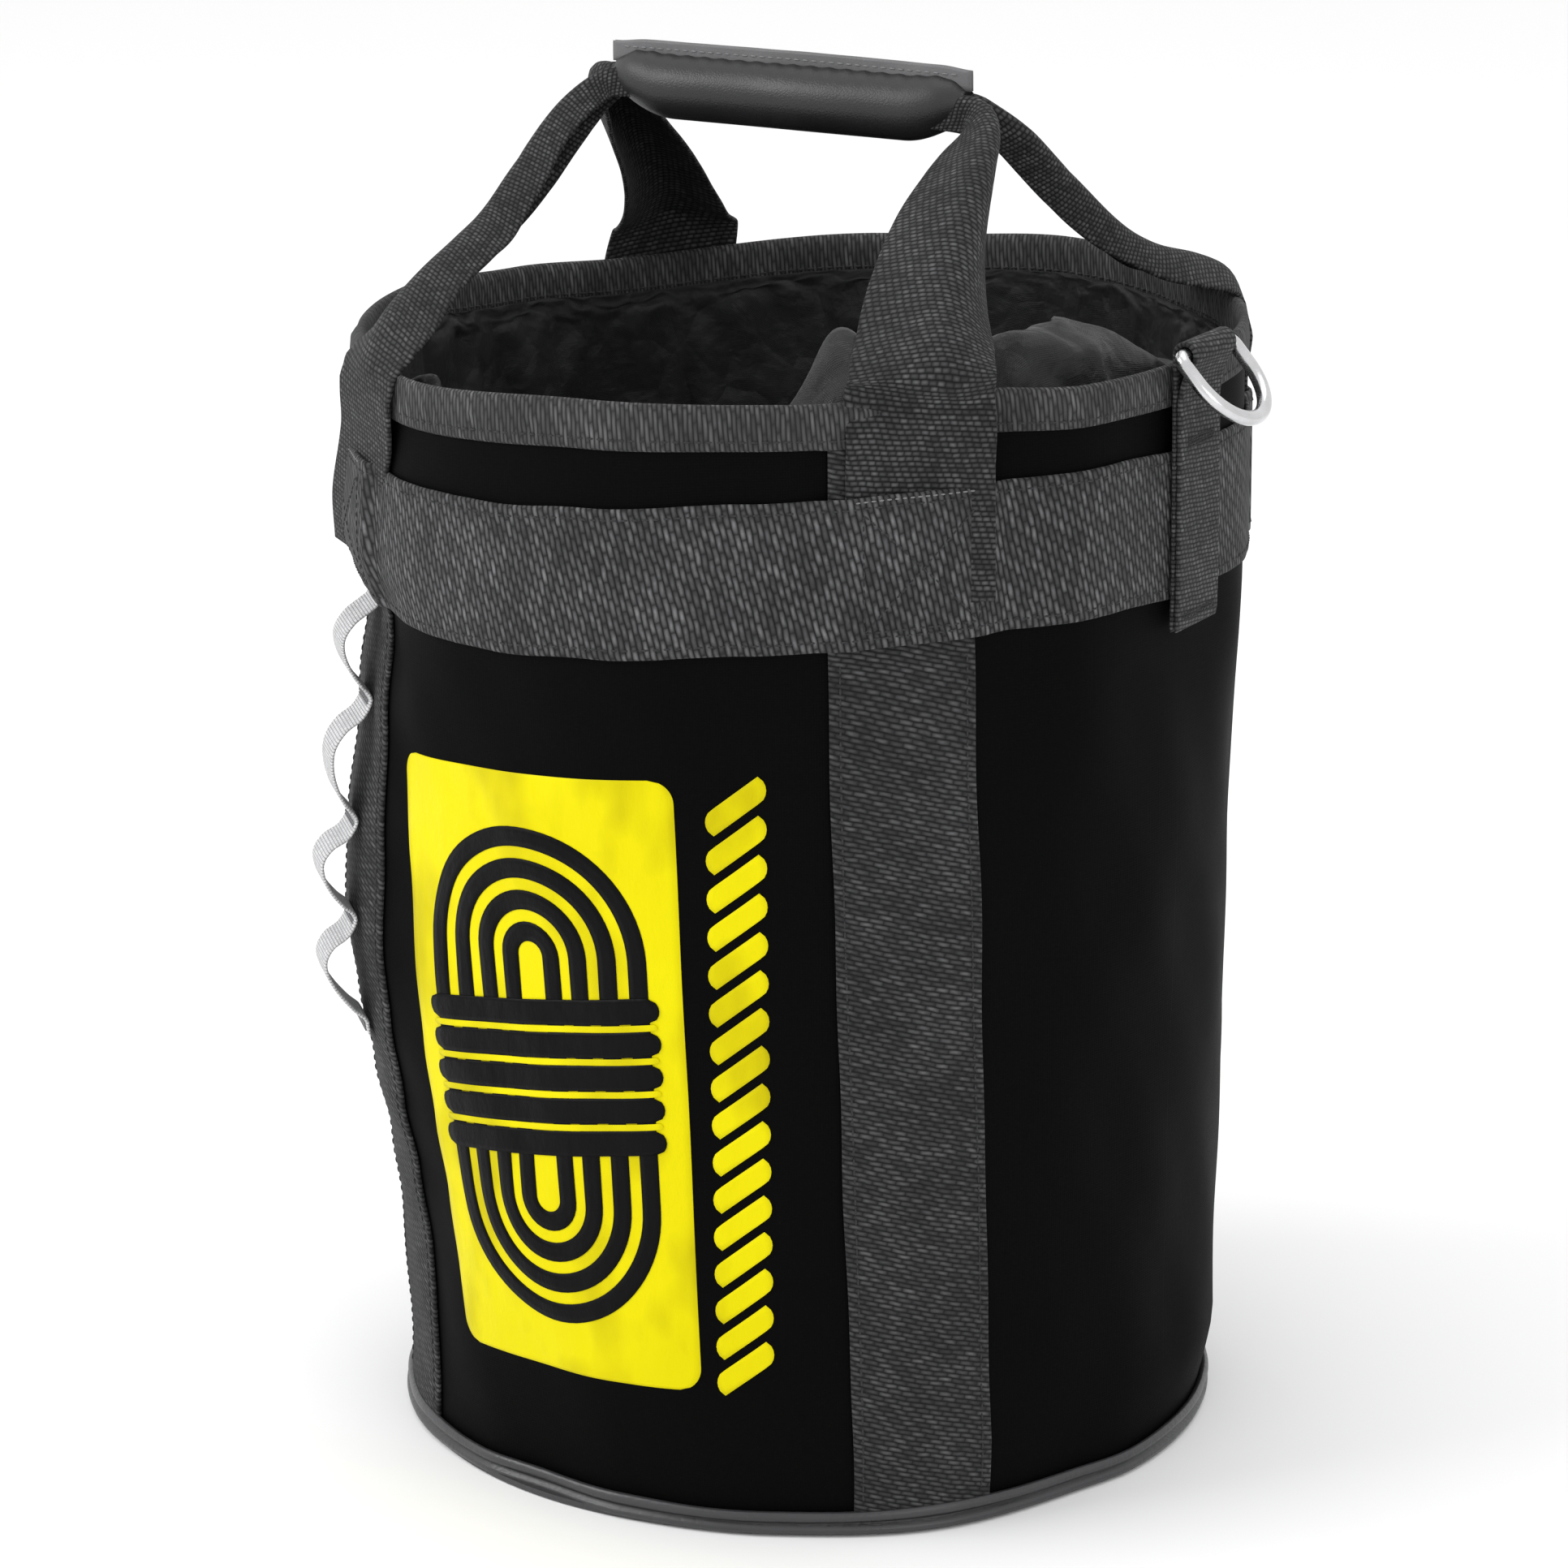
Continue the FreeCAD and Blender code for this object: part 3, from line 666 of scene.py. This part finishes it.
def strap_frame(path, left, right, soft):
    """Width and normal at each place: along the rim at the bag, along -Y at the grip."""
    tangent = unit(np.gradient(path, axis=0))
    on_left = path[:, 0] < 0
    out = outward(np.where(on_left, STRAPS[left] + LEAN[left], STRAPS[right] + LEAN[right]))
    at_rim = np.cross(out, np.array([0, 0, 1.0])) * np.where(on_left, -1.0, 1.0)[:, None]
    hint = at_rim * (1 - soft)[:, None] + np.array([0, -1.0, 0]) * soft[:, None]
    wide = unit(hint - (hint * tangent).sum(1)[:, None] * tangent)
    clear = ease((path[:, 2] - 393) / 34)[:, None]
    wide = unit(at_rim * (1 - clear) + wide * clear)
    return wide, unit(np.cross(tangent, wide))


def folded(t, bend, place, core):
    """Section of webbing folded lengthwise: place across, height and slope for each t."""
    fine = np.linspace(t[0], t[-1], 201)
    slope = bend * np.tanh((fine - place) / core)
    mean = (slope[1:] + slope[:-1]) / 2
    x = np.concatenate([[0], np.cumsum(np.cos(mean) * np.diff(fine))])
    h = np.concatenate([[0], np.cumsum(np.sin(mean) * np.diff(fine))])
    return np.interp(t, fine, x), np.interp(t, fine, h), bend * np.tanh((t - place) / core)


def strap_loop(name, left, right, crease, late, gather, nodes):
    """One carrying strap, up through the grip and down again, folding lengthwise as it nears the grip.

    crease is where each leg folds, off its middle. late is how late the right leg folds. gather is the share
    of its width that each leg keeps half way up.
    """
    y = LEGS[left][-1][1]
    inside = [np.array([x, y, AXIS + 0.2]) for x in (-45, 0, 45)]
    path, s = smooth_path(rise(left) + inside + rise(right)[::-1])
    x, z = path[:, 0], path[:, 2]
    on_left = x < 0
    top = np.clip((z - 391.5) / 72.5, 0, 1)
    top[(np.abs(x) < 82) & (z > 440)] = 1.0
    soft = softened(top, 6)
    wide, normal = strap_frame(path, left, right, soft)
    bend = np.radians(84) * soft ** np.where(on_left, 0.55, late)
    squeeze = softened(1 - 0.56 * ease((93 - np.abs(x)) / 22) * ease((z - 432) / 16), 3)
    squeeze *= 1 - (1 - np.where(on_left, *gather)) * ease((z - 398) / 18) * ease((460 - z) / 24)
    place = np.where(on_left, *crease) * (1 - 0.6 * soft)
    t, share = across_webbing(WEB, 2.0)
    low, up = [], []
    for i, q in enumerate(squeeze):
        across, height, slope = folded(t, bend[i], place[i], 7.0 - 2.0 * soft[i])
        level = soft[i] ** 0.5
        across = across - (across[0] + across[-1]) * 0.3 - across[len(t) // 2] * 0.4
        height = height - height.mean() * level - height.min() * (1 - level)
        mid = path[i] + (wide[i] * across[:, None] + normal[i] * height[:, None]) * q
        out = normal[i] * np.cos(slope)[:, None] - wide[i] * np.sin(slope)[:, None]
        half = (0.88 * share * (0.75 + 0.25 * q))[:, None]
        low.append(mid + out * half)
        up.append(mid - out * half)
    obj = shell(name, np.array(low), np.array(up), t + WEB / 2, s, STRAPPING)
    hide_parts(*nodes)
    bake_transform(obj)


strap_loop("strap_front", "front_left", "front_right", (2.0, -8.0), 0.74, (0.68, 1.0),
           ["front_strap_leg_left", "front_strap_leg_right", "front_strap_run"])
strap_loop("strap_rear", "rear_left", "rear_right", (0.0, 4.0), 0.55, (0.85, 0.62),
           ["rear_strap_leg_left", "rear_strap_leg_right", "rear_strap_run"])


# ---------------------------------------------------------------- grip
def grip_radius(x):
    """Full in the middle, drawn in to both ends."""
    end = np.clip((np.abs(x) - 44) / 25, 0, 1)
    return 11.2 * np.sqrt(np.clip(1 - 0.80 * end ** 2.2, 0.0, 1)) * (1 - 0.12 * ease((np.abs(x) - 60) / 9))


def simulate(obj, pins, pressure, shrink, frames, stiff, bend,
             gravity=0.0, collide=None, mass=0.3, quality=6):
    """Runs the cloth solver and keeps the settled shape. pins is a weight for every vertex."""
    group = obj.vertex_groups.new(name="pins")
    for k, w in enumerate(pins):
        if w > 0:
            group.add([k], float(w), "REPLACE")
    cloth = obj.modifiers.new("cloth", "CLOTH")
    c = cloth.settings
    c.quality = quality
    c.mass = mass
    c.tension_stiffness = stiff
    c.compression_stiffness = stiff
    c.shear_stiffness = stiff / 3
    c.bending_stiffness = bend
    c.vertex_group_mass = "pins"
    c.shrink_min = shrink
    c.shrink_max = shrink
    c.effector_weights.gravity = gravity
    if pressure:
        c.use_pressure = True
        c.uniform_pressure_force = pressure
    cloth.collision_settings.use_collision = collide is not None
    cloth.collision_settings.use_self_collision = False
    if collide is not None:
        cloth.collision_settings.distance_min = 0.0015
    cloth.point_cache.frame_start = 1
    cloth.point_cache.frame_end = frames
    scene = bpy.context.scene
    scene.frame_start, scene.frame_end = 1, frames
    for f in range(1, frames + 1):
        scene.frame_set(f)
    deps = bpy.context.evaluated_depsgraph_get()
    found = obj.evaluated_get(deps).to_mesh()
    co = np.empty(len(found.vertices) * 3)
    found.vertices.foreach_get("co", co)
    obj.evaluated_get(deps).to_mesh_clear()
    obj.modifiers.clear()
    scene.frame_set(1)
    return co.reshape(-1, 3)


xs = np.linspace(-69, 69, 93)
ring = np.linspace(0, 360, 40, endpoint=False)
RING_STEP = 1.75
X, P = np.meshgrid(xs, np.radians(ring), indexing="ij")
R = grip_radius(X)
end_rise = 3.2 * ease((np.abs(X) - 46) / 22)
puckers = 0.30 * np.sin(X * 0.9) * np.exp(-((np.mod(np.degrees(P), 360) - 90) / 38) ** 2)
Y = R * np.cos(P) * (1 + 0.03 * np.sin(X / 9))
Z = AXIS + end_rise + (R + puckers) * np.sin(P)
grid = np.stack([X, Y, Z], -1)
sec, cols = grid.shape[:2]
faces, uvs = [], []
for i in range(sec - 1):
    for j in range(cols):
        q = (j + 1) % cols
        faces.append([i * cols + j, i * cols + q, (i + 1) * cols + q, (i + 1) * cols + j])
        v, w = j * RING_STEP, (j + 1) * RING_STEP
        uvs.extend([(xs[i], v), (xs[i], w), (xs[i + 1], w), (xs[i + 1], v)])
for i, flip in ((0, True), (sec - 1, False)):
    ids = [i * cols + j for j in range(cols)]
    faces.append(ids if flip else ids[::-1])
    uvs.extend([(j, 0) for j in range(cols)])
grip = finish_mesh("grip_padded", grid.reshape(-1, 3), [f[::-1] for f in faces], uvs, GRIP)
tied = (np.arange(sec) < 2) | (np.arange(sec) > sec - 3)
on_seam = np.abs(ring - 90) < 8
pins = (tied[:, None] | on_seam[None, :]).astype(float).ravel()
MOST_MOVE = 0.0007
start = grid.reshape(-1, 3) / 1000
now = simulate(grip, pins, pressure=4.0, shrink=0.0, frames=20, stiff=15.0, bend=2.0)
move = now - start
size = np.linalg.norm(move, axis=1)
move *= (np.minimum(size, MOST_MOVE) / np.maximum(size, 1e-9))[:, None]
grip.data.vertices.foreach_set("co", (start + move).ravel())
grip.data.update()
refine(grip)
wear(grip, body="handle", nodes=["grip_cover", "grip_pad"])

# Flange lips along the top seam, in the lighter grey of the painted highlight.
lx = np.linspace(-71, 70.5, 95)
lz = np.array([8.6, 10.4, 12, 13.4, 14.6, 15.1, 15.4])
X, Z = np.meshgrid(lx, lz)
wave = 0.45 * np.sin(X / 13 + 0.6) + 0.2 * np.sin(X / 3.1) * ease((Z - 11) / 4)
droop = -0.9 * ease((np.abs(X) - 58) / 12) - 0.5 * (X / 70) ** 2
thin_up = np.interp(np.arange(len(lz)), (0, 3, 5, 6), (1, 1, 0.8, 0.3))
thin_along = np.interp(np.arange(len(lx)), (0, 1, len(lx) - 2, len(lx) - 1), (0.4, 1, 1, 0.4))
half = (0.55 * thin_up[:, None] * thin_along[None, :])[..., None] * np.array([0, 1.0, 0])
for lip, sign in (("a", -1), ("b", 1)):
    Y = sign * 0.68 + wave * 0.6 + sign * 0.12 * np.sin(X / 4.5) * ease((Z - 13) / 2)
    mid = np.stack([X, Y, AXIS + Z + droop], -1)
    lips = shell(f"grip_flange_{lip}", mid - half, mid + half, lx + 71, lz, LIT_LIPS)
    wear(lips, body="handle")
spots = []
for x in np.arange(-66, 66, 3.4):
    for sign in (-1, 1):
        near_y, far_y = (0.27 * math.sin((x + d) / 13 + 0.6) + sign * 1.30 for d in (0, 2.4))
        z = AXIS + 12.9 - 0.5 * (x / 70) ** 2
        spots.append(((x, near_y, z), (x + 2.4, far_y, z), (0, sign, 0)))
wear(threads("grip_seam", spots, THREAD_LIGHT, radius=0.28), body="handle")

# ---------------------------------------------------------------- ring and tab
paint_cad("d_ring", STEEL)


def side_path(points, step):
    """Smooth path through points out from the wall and up, its length, and its normals."""
    path, s = smooth_path([(off, 0, z) for off, z in points], step)
    return path, s, np.cross(unit(np.gradient(path, axis=0)), np.array([0, 1.0, 0]))


def ribbon(name, centre, spots, normal, s, width, thick, mat, sway=0.0):
    """Narrow webbing at a row angle, its middle through spots and its width along the wall."""
    t, share = across_webbing(width)
    out = normal[:, :1] * outward(np.array(centre)) + normal[:, 2:] * np.array([0, 0, 1.0])
    shift = t[None, :] + np.broadcast_to(sway, len(spots))[:, None]
    rows = spots[:, None, :] + shift[..., None] * sideways(centre)
    half = thick / 2 * tapered(len(spots), 0.4, 0.4)[:, None] * share[None, :]
    offset = out[:, None, :] * half[..., None]
    return shell(name, rows + offset, rows - offset, t + width / 2, s, mat)


def bars(centre, z0, z1, half, off, rows):
    """Dense zigzag bars of stitches across a tape at a row angle."""
    out = outward(np.array(centre, float))
    count = int(half * 2 / 1.1)
    step = 2 * half / count
    spots = []
    for k in range(rows):
        z = z0 + (z1 - z0) * (k + 0.5) / rows
        for j in range(count):
            x = j * step - half
            flip = 0.35 if (j + k) % 2 else -0.35
            start = bag(centre, z - flip, off) + sideways(centre) * x
            end = bag(centre, z + flip, off) + sideways(centre) * (x + 0.95 * step)
            spots.append((start, end, out))
    return spots


TAB, TAB_OFF = 1.0, 2.0
BAR_R, BAR_Z, LOOP_R = 156.6, 394.0, 3.75


def on_tab(z, off):
    """Distance from the axis, and height, of a place on the wall under the tab."""
    p = bag(TAB, z, TAB_OFF + off)
    return math.hypot(p[0], p[1]), p[2] - float(lift(TAB, z))


levels = (300.5, 310, 320, 335, 350, 362, 371, 377)
front = [on_tab(z, 2.75) for z in levels]
back = [on_tab(z, 0.92) for z in levels]
round_bar = np.radians(np.linspace(-18, 195, 15))
loop = [(BAR_R + LOOP_R * math.cos(a), BAR_Z + LOOP_R * math.sin(a)) for a in round_bar]
to_loop = [(front[-1][0] + 1.5, 385.0)]
from_loop = [(back[-1][0] + 0.2, 382.0)]
path, s, normal = side_path(front + to_loop + loop + from_loop + back[::-1], 1.2)
spots = path[:, :1] * outward(np.array(TAB)) + path[:, 2:] * np.array([0, 0, 1.0])
tab = ribbon("tab_webbing", TAB, spots, normal, s, 30.0, 1.74, NARROW)
wear(tab, nodes=["d_ring_tab"])
spots = bars(TAB, 361.5, 365.5, 9.5, TAB_OFF + 3.62, 4) + bars(TAB, 303, 306, 12.0, TAB_OFF + 3.62, 3)
wear(threads("tab_stitching", spots, THREAD, radius=0.3), nodes=["tab_bartack"])

# ---------------------------------------------------------------- accessory loops
ANCHORS = [150.0, 188.0, 223.0, 266.0, 308.0]
BULGE = ((0.12, 0.35), (0.3, 0.72), (0.5, 0.97), (0.68, 1.0), (0.84, 0.72), (0.95, 0.26))
LOOP_DEPTH = 11.4
ON_SIDE = GAP + WEB_THICK + 0.45
line = [(0.0, 147.0)]
for low_z, high_z in zip(ANCHORS[:-1], ANCHORS[1:]):
    foot, head = low_z + 3, high_z - 3
    line += [(0.0, low_z), (0.1, foot)]
    line += [(LOOP_DEPTH * out, foot + (head - foot) * up) for up, out in BULGE]
line += [(0.1, 305.5), (0.0, 309), (0.0, 320), (0.0, 327)]
path, s, normal = side_path(line, 1.3)
centre = SIDES["front_left"]
spots = bag(centre, path[:, 2], ON_SIDE + 0.7 + path[:, 0])
sway = 0.5 * np.sin(path[:, 2] / 19)
daisy = ribbon("daisy_loops", centre, spots, normal, s, 20.0, 1.24, DAISY, sway)
wear(daisy, nodes=["daisy_chain"])
spots = []
for z in ANCHORS[:-1]:
    spots += bars(centre, z - 1.6, z + 1.6, 8.4, ON_SIDE + 1.5, 3)
wear(threads("daisy_stitching", spots, THREAD_LIGHT, radius=0.3), nodes=["daisy_bartacks"])

# ---------------------------------------------------------------- stitching on the bag
def over_band(angle, off=1.78):
    return GAP + under_band(angle) + off


full = np.linspace(0, 360, 1441)
spots = []
for z in (BAND_Z - 21.5, BAND_Z + 21.5):
    spots += stitch_line(full, z, over_band(full))
wear(threads("band_stitching", spots, THREAD))
spots = stitch_line(full, 380.2, 1.5 + LAYER * plateau(full, SIDES.values()))
through = 4.45
inner = [(p - o * through, q - o * through, -o) for p, q, o in stitch_line(full, 380.0, 1.5)]
wear(threads("binding_stitching", spots + inner, THREAD))
spots = []
z = np.linspace(12, 306, 120)
for side, centre in SIDES.items():
    for x in (-21.5, 21.5):
        spots += stitch_line(centre + side_drift(side, z) + along_wall(x), z, 1.92)
wear(threads("side_stitching", spots, THREAD))
left, right, low, high = -20, 20, BAND_Z - 19.5, BAND_Z + 19.5
box = (((left, low), (right, low)), ((right, low), (right, high)), ((left, high), (left, low)),
       ((left, low), (right, high)), ((left, high), (right, low)))
spots = []
k = np.linspace(0, 1, 40)
for centre in STRAPS.values():
    for (x0, z0), (x1, z1) in box:
        ang = centre + along_wall(x0 + (x1 - x0) * k, 154)
        spots += stitch_line(ang, z0 + (z1 - z0) * k, over_band(ang), pitch=3.0)
wear(threads("box_stitching", spots, THREAD), nodes=["strap_box_stitches"])
spots = []
for centre in STRAPS.values():
    ang = centre + along_wall(np.linspace(-23, 23, 60), 154)
    spots += stitch_line(ang, np.full(60, 358.6), over_band(ang, 1.7), pitch=2.6)
wear(threads("strap_top_stitching", spots, THREAD_LIGHT, radius=0.3))

# ---------------------------------------------------------------- printed panel
TOP_LEFT, TOP_RIGHT = (240.6, 258.7), (285.8, 267.4)  # row angle, height
FOOT_LEFT, FOOT_RIGHT = (246.0, 48.2), (287.7, 52.3)
PANEL_W, PANEL_H = 112.0, 212.0
CORNER = 8.0
ROPE = 4.4


def on_panel(x, y):
    """Panel millimetres, from its lower left corner, to (row angle, height)."""
    s, t = x / PANEL_W, y / PANEL_H
    foot = [(1 - s) * a + s * b for a, b in zip(FOOT_LEFT, FOOT_RIGHT)]
    top = [(1 - s) * a + s * b for a, b in zip(TOP_LEFT, TOP_RIGHT)]
    return [(1 - t) * a + t * b for a, b in zip(foot, top)]


def on_strip(x, y):
    """Millimetres on the strip beside the panel to (row angle, height)."""
    return 289.6 + along_wall(x), 53.0 + y


def print_film(name, x, y, mat, low=0.04, high=0.22, wrap=False, place=on_panel):
    """Thin print in the shape of a grid of points, from low to high over the wall."""
    ang, z = place(x, y)
    u = np.linspace(0, 40, x.shape[1])
    v = np.linspace(0, 40, x.shape[0])
    obj = shell(name, bag(ang, z, low), bag(ang, z, high), u, v, mat, wrap=wrap)
    wear(obj)


ys = np.concatenate([np.linspace(0, CORNER, 9), np.linspace(12, PANEL_H - 12, 48),
                     np.linspace(PANEL_H - CORNER, PANEL_H, 9)])
into = np.maximum(CORNER - np.minimum(ys, PANEL_H - ys), 0)
inset = (CORNER - np.sqrt(CORNER ** 2 - into ** 2))[:, None]
x = inset + np.linspace(0, 1, 40)[None, :] * (PANEL_W - 2 * inset)
print_film("print_panel", x, np.repeat(ys[:, None], 40, 1), YELLOW)


def stadium(cx, cy, half_w, half_h, count):
    """Closed outline of a rounded bar in even steps: x, y, and the outward direction."""
    straight, bend = 2 * (half_h - half_w), math.pi * half_w
    pts = []
    for k in range(count):
        second, s = divmod(k / count * 2 * (straight + bend), straight + bend)
        sign = -1 if second else 1
        a = max(0.0, s - straight) / half_w
        x, y = half_w * math.cos(a), min(s, straight) - straight / 2 + half_w * math.sin(a)
        pts.append((cx + sign * x, cy + sign * y, sign * math.cos(a), sign * math.sin(a)))
    return np.array(pts)


def slanted_bar(cx, cy, half_w, half_h, slant):
    """Grid of a bar with rounded ends, rising by slant from end to end."""
    f, rows = np.meshgrid(np.linspace(0, 1, 30), np.linspace(-1, 1, 7))
    cap = 1 - np.sqrt(1 - rows ** 2)
    return cx + (2 * f - 1) * (half_w - half_h * cap), cy + rows * half_h + (f - 0.5) * slant


mid_x, mid_y = PANEL_W / 2, PANEL_H / 2
offs = np.array([-3.4, -1.2, 1.2, 3.4])[:, None]
for n, (half_w, half_h) in enumerate(((41, 84), (30, 73), (19, 62), (8.4, 51))):
    x, y, nx, ny = stadium(mid_x, mid_y, half_w, half_h, 128).T
    print_film(f"print_coil_{n + 1}", x + nx * offs, y + ny * offs, BLACK, 0.26, 0.42, wrap=True)
wraps, wrap_pitch = 5, 11.5
for n in range(wraps):
    cy = mid_y + (n - 2) * wrap_pitch
    print_film(f"print_wrap_{n + 1}", *slanted_bar(mid_x, cy, 48.0, ROPE, 9), BLACK, 0.46, 0.62)
    if n < wraps - 1:
        x, y = slanted_bar(mid_x, cy + wrap_pitch / 2, 47.0, 1.1, 9)
        print_film(f"print_gap_{n + 1}", x, y, YELLOW, 0.46, 0.62)

f, rows = np.meshgrid(np.linspace(0, 1, 10), np.linspace(-1, 1, 7))
blunt = 0.55 + 0.45 * np.sqrt(1 - (rows * 0.92) ** 2)
for n in range(16):
    x = 10.5 + (2 * f - 1) * 10.0 * blunt
    y = 8 + n * 13.2 + rows * 4.7 + (f - 0.5) * 11
    print_film(f"print_lay_{n + 1}", x, y, YELLOW, place=on_strip)

# ---------------------------------------------------------------- collar
n_round, n_down = 240, 36
ROUND_STEP, DOWN_STEP = 3.9, 4.0
ang = np.linspace(0, 360, n_round, endpoint=False)
ar = np.radians(ang)
fullness = 4.2 * np.sin(13 * ar + 1.3 * np.sin(3 * ar)) + 2.6 * np.sin(27 * ar + 2.0 * np.sin(2 * ar + 1))
# The nylon stands in soft lobes at the front and right of the rim, and hangs elsewhere.
LOBES_UP = ((26, 344, 19), (3, 8, 12), (27, 309, 7), (5, 286, 6), (9, 236, 9))  # height, angle, width
LOBES_IN = ((24, 347, 26), (26, 309, 8), (5, 286, 8), (6, 236, 12))  # reach, angle, width
crest_up = sum(size * near(ang, centre, width) for size, centre, width in LOBES_UP) + 2
crest_in = sum((size * near(ang, centre, width) for size, centre, width in LOBES_IN), 9)
ribs = 1.3 * np.sin(44 * ar + 2 * np.sin(5 * ar)) * (near(ang, 347, 26) + near(ang, 309, 9))
crest_row = 8
grid = np.empty((n_down, n_round, 3))
for i in range(n_down):
    up = min(1.0, i / crest_row)
    fall = max(0.0, (i - crest_row) / (n_down - 1 - crest_row))
    arch = math.sin(up * math.pi / 2)
    inward = 4.0 + crest_in * (1 - math.cos(up * math.pi / 2)) * (1 - 0.35 * ease(fall * 1.4)) + 7 * fall
    wave = fullness * float(ease(i / 7)) * (0.35 + 0.75 * fall)
    r = 150 + dent(ang, 378) - inward + wave + ribs * float(ease(i / 5))
    ripple = 2.2 * np.sin(19 * ar + i * 0.5) * float(ease(i / 6)) * (1 - fall)
    z = 379 + crest_up * arch - (112 + crest_up) * fall ** 1.15 + ripple
    grid[i] = np.stack([r * np.cos(ar), r * np.sin(ar), z + lift(ang, 385)], -1)
faces, uvs = [], []
for i in range(n_down - 1):
    for j in range(n_round):
        q = (j + 1) % n_round
        faces.append([i * n_round + j, (i + 1) * n_round + j, (i + 1) * n_round + q, i * n_round + q])
        u, v = j * ROUND_STEP, i * DOWN_STEP
        uvs.extend([(u, v), (u, v + DOWN_STEP), (u + ROUND_STEP, v + DOWN_STEP), (u + ROUND_STEP, v)])
collar = finish_mesh("collar_cloth", grid.reshape(-1, 3), faces, uvs, NYLON)
pins = np.zeros(n_round * n_down)
pins[:n_round] = 1.0
held_up = np.clip(crest_up / 14 - 0.25, 0, 1)
for i in (crest_row - 1, crest_row, crest_row + 1):
    pins[i * n_round:(i + 1) * n_round] = held_up * 0.8
guard_a, guard_z = np.meshgrid(np.linspace(0, 360, 72, endpoint=False), np.linspace(230, 392, 12))
inner, outer = bag(guard_a, guard_z, -3.4), bag(guard_a, guard_z, 2.0)
guard = shell("guard", inner, outer, np.arange(72.0), np.arange(12.0), WALL, wrap=True)
guard.modifiers.new("hit", "COLLISION")
guard.collision.thickness_outer = 0.001
now = simulate(collar, pins, pressure=0.0, shrink=-0.07, frames=30, stiff=10.0, bend=0.08, gravity=0.8,
               collide=guard, mass=0.12, quality=7)
settled = np.degrees(np.arctan2(now[:, 1], now[:, 0]))
limit = 150 + dent(settled, now[:, 2] * 1000) - 3.9
r = np.hypot(now[:, 0], now[:, 1]) * 1000
pull = np.minimum(1.0, limit / np.maximum(r, 1e-6))
now[:, 0] *= pull
now[:, 1] *= pull
collar.data.vertices.foreach_set("co", now.ravel())
collar.data.update()
bpy.data.objects.remove(guard)
skin = collar.modifiers.new("skin", "SOLIDIFY")
skin.thickness = 0.0005
skin.offset = 0
refine(collar, "skin")
wear(collar, nodes=["inner_collar", "collar_hem"])

# ---------------------------------------------------------------- stage, light and camera
floor_paint = bpy.data.materials.new("floor")
floor_paint.use_nodes = True
plain = floor_paint.node_tree.nodes["Principled BSDF"]
plain.inputs["Base Color"].default_value = (0.93, 0.93, 0.93, 1)
plain.inputs["Roughness"].default_value = 0.9
mesh = bpy.data.meshes.new("floor")
h, z = 15.0, -0.0005
mesh.from_pydata([(-h, -h, z), (h, -h, z), (h, h, z), (-h, h, z)], [], [(0, 1, 2, 3)])
floor = bpy.data.objects.new("floor", mesh)
bpy.context.collection.objects.link(floor)
floor.data.materials.append(floor_paint)
floor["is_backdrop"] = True


def lamp(name, place, aim, size, watts):
    """White rectangular lamp, aimed at a place."""
    data = bpy.data.lights.new(name, "AREA")
    data.shape = "RECTANGLE"
    data.size, data.size_y = size
    data.energy = watts
    obj = bpy.data.objects.new(name, data)
    bpy.context.collection.objects.link(obj)
    obj.location = place
    obj.rotation_euler = (Vector(aim) - Vector(place)).to_track_quat("-Z", "Y").to_euler()
    obj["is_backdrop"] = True


lamp("key", (-1.5, -1.3, 1.7), (0, 0, 0.25), (1.4, 1.1), 26)
lamp("fill", (1.9, -1.2, 0.9), (0, 0, 0.22), (1.2, 1.2), 6)
lamp("top", (0.1, 0.3, 2.3), (0, 0, 0.3), (1.6, 1.6), 9)
world = bpy.data.worlds.new("studio")
world.use_nodes = True
world.node_tree.nodes["Background"].inputs["Color"].default_value = (1, 1, 1, 1)
world.node_tree.nodes["Background"].inputs["Strength"].default_value = 1.0
bpy.context.scene.world = world
bpy.context.scene.view_settings.view_transform = "Standard"

# The photo's camera, fitted to the rim, the base and the webbings.
AZIMUTH, DOWN, ROLL = math.radians(31.5), math.radians(17.65), -0.011
FROM_AXIS, HEIGHT = 1.89035, 0.77887
camera_data = bpy.data.cameras.new("camera")
camera = bpy.data.objects.new("camera", camera_data)
bpy.context.collection.objects.link(camera)
camera.matrix_world = (
    Matrix.Translation((math.sin(AZIMUTH) * FROM_AXIS, -math.cos(AZIMUTH) * FROM_AXIS, HEIGHT))
    @ Matrix.Rotation(AZIMUTH, 4, "Z")
    @ Matrix.Rotation(math.pi / 2 - DOWN, 4, "X")
    @ Matrix.Rotation(ROLL, 4, "Z")
)
camera_data.sensor_width = 36.0
camera_data.lens = 128.9
camera_data.shift_x = -0.0100
camera_data.shift_y = 0.0790
camera_data.clip_start = 0.05
camera_data.clip_end = 50
camera_data.dof.use_dof = False
bpy.context.scene.camera = camera

low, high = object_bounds()
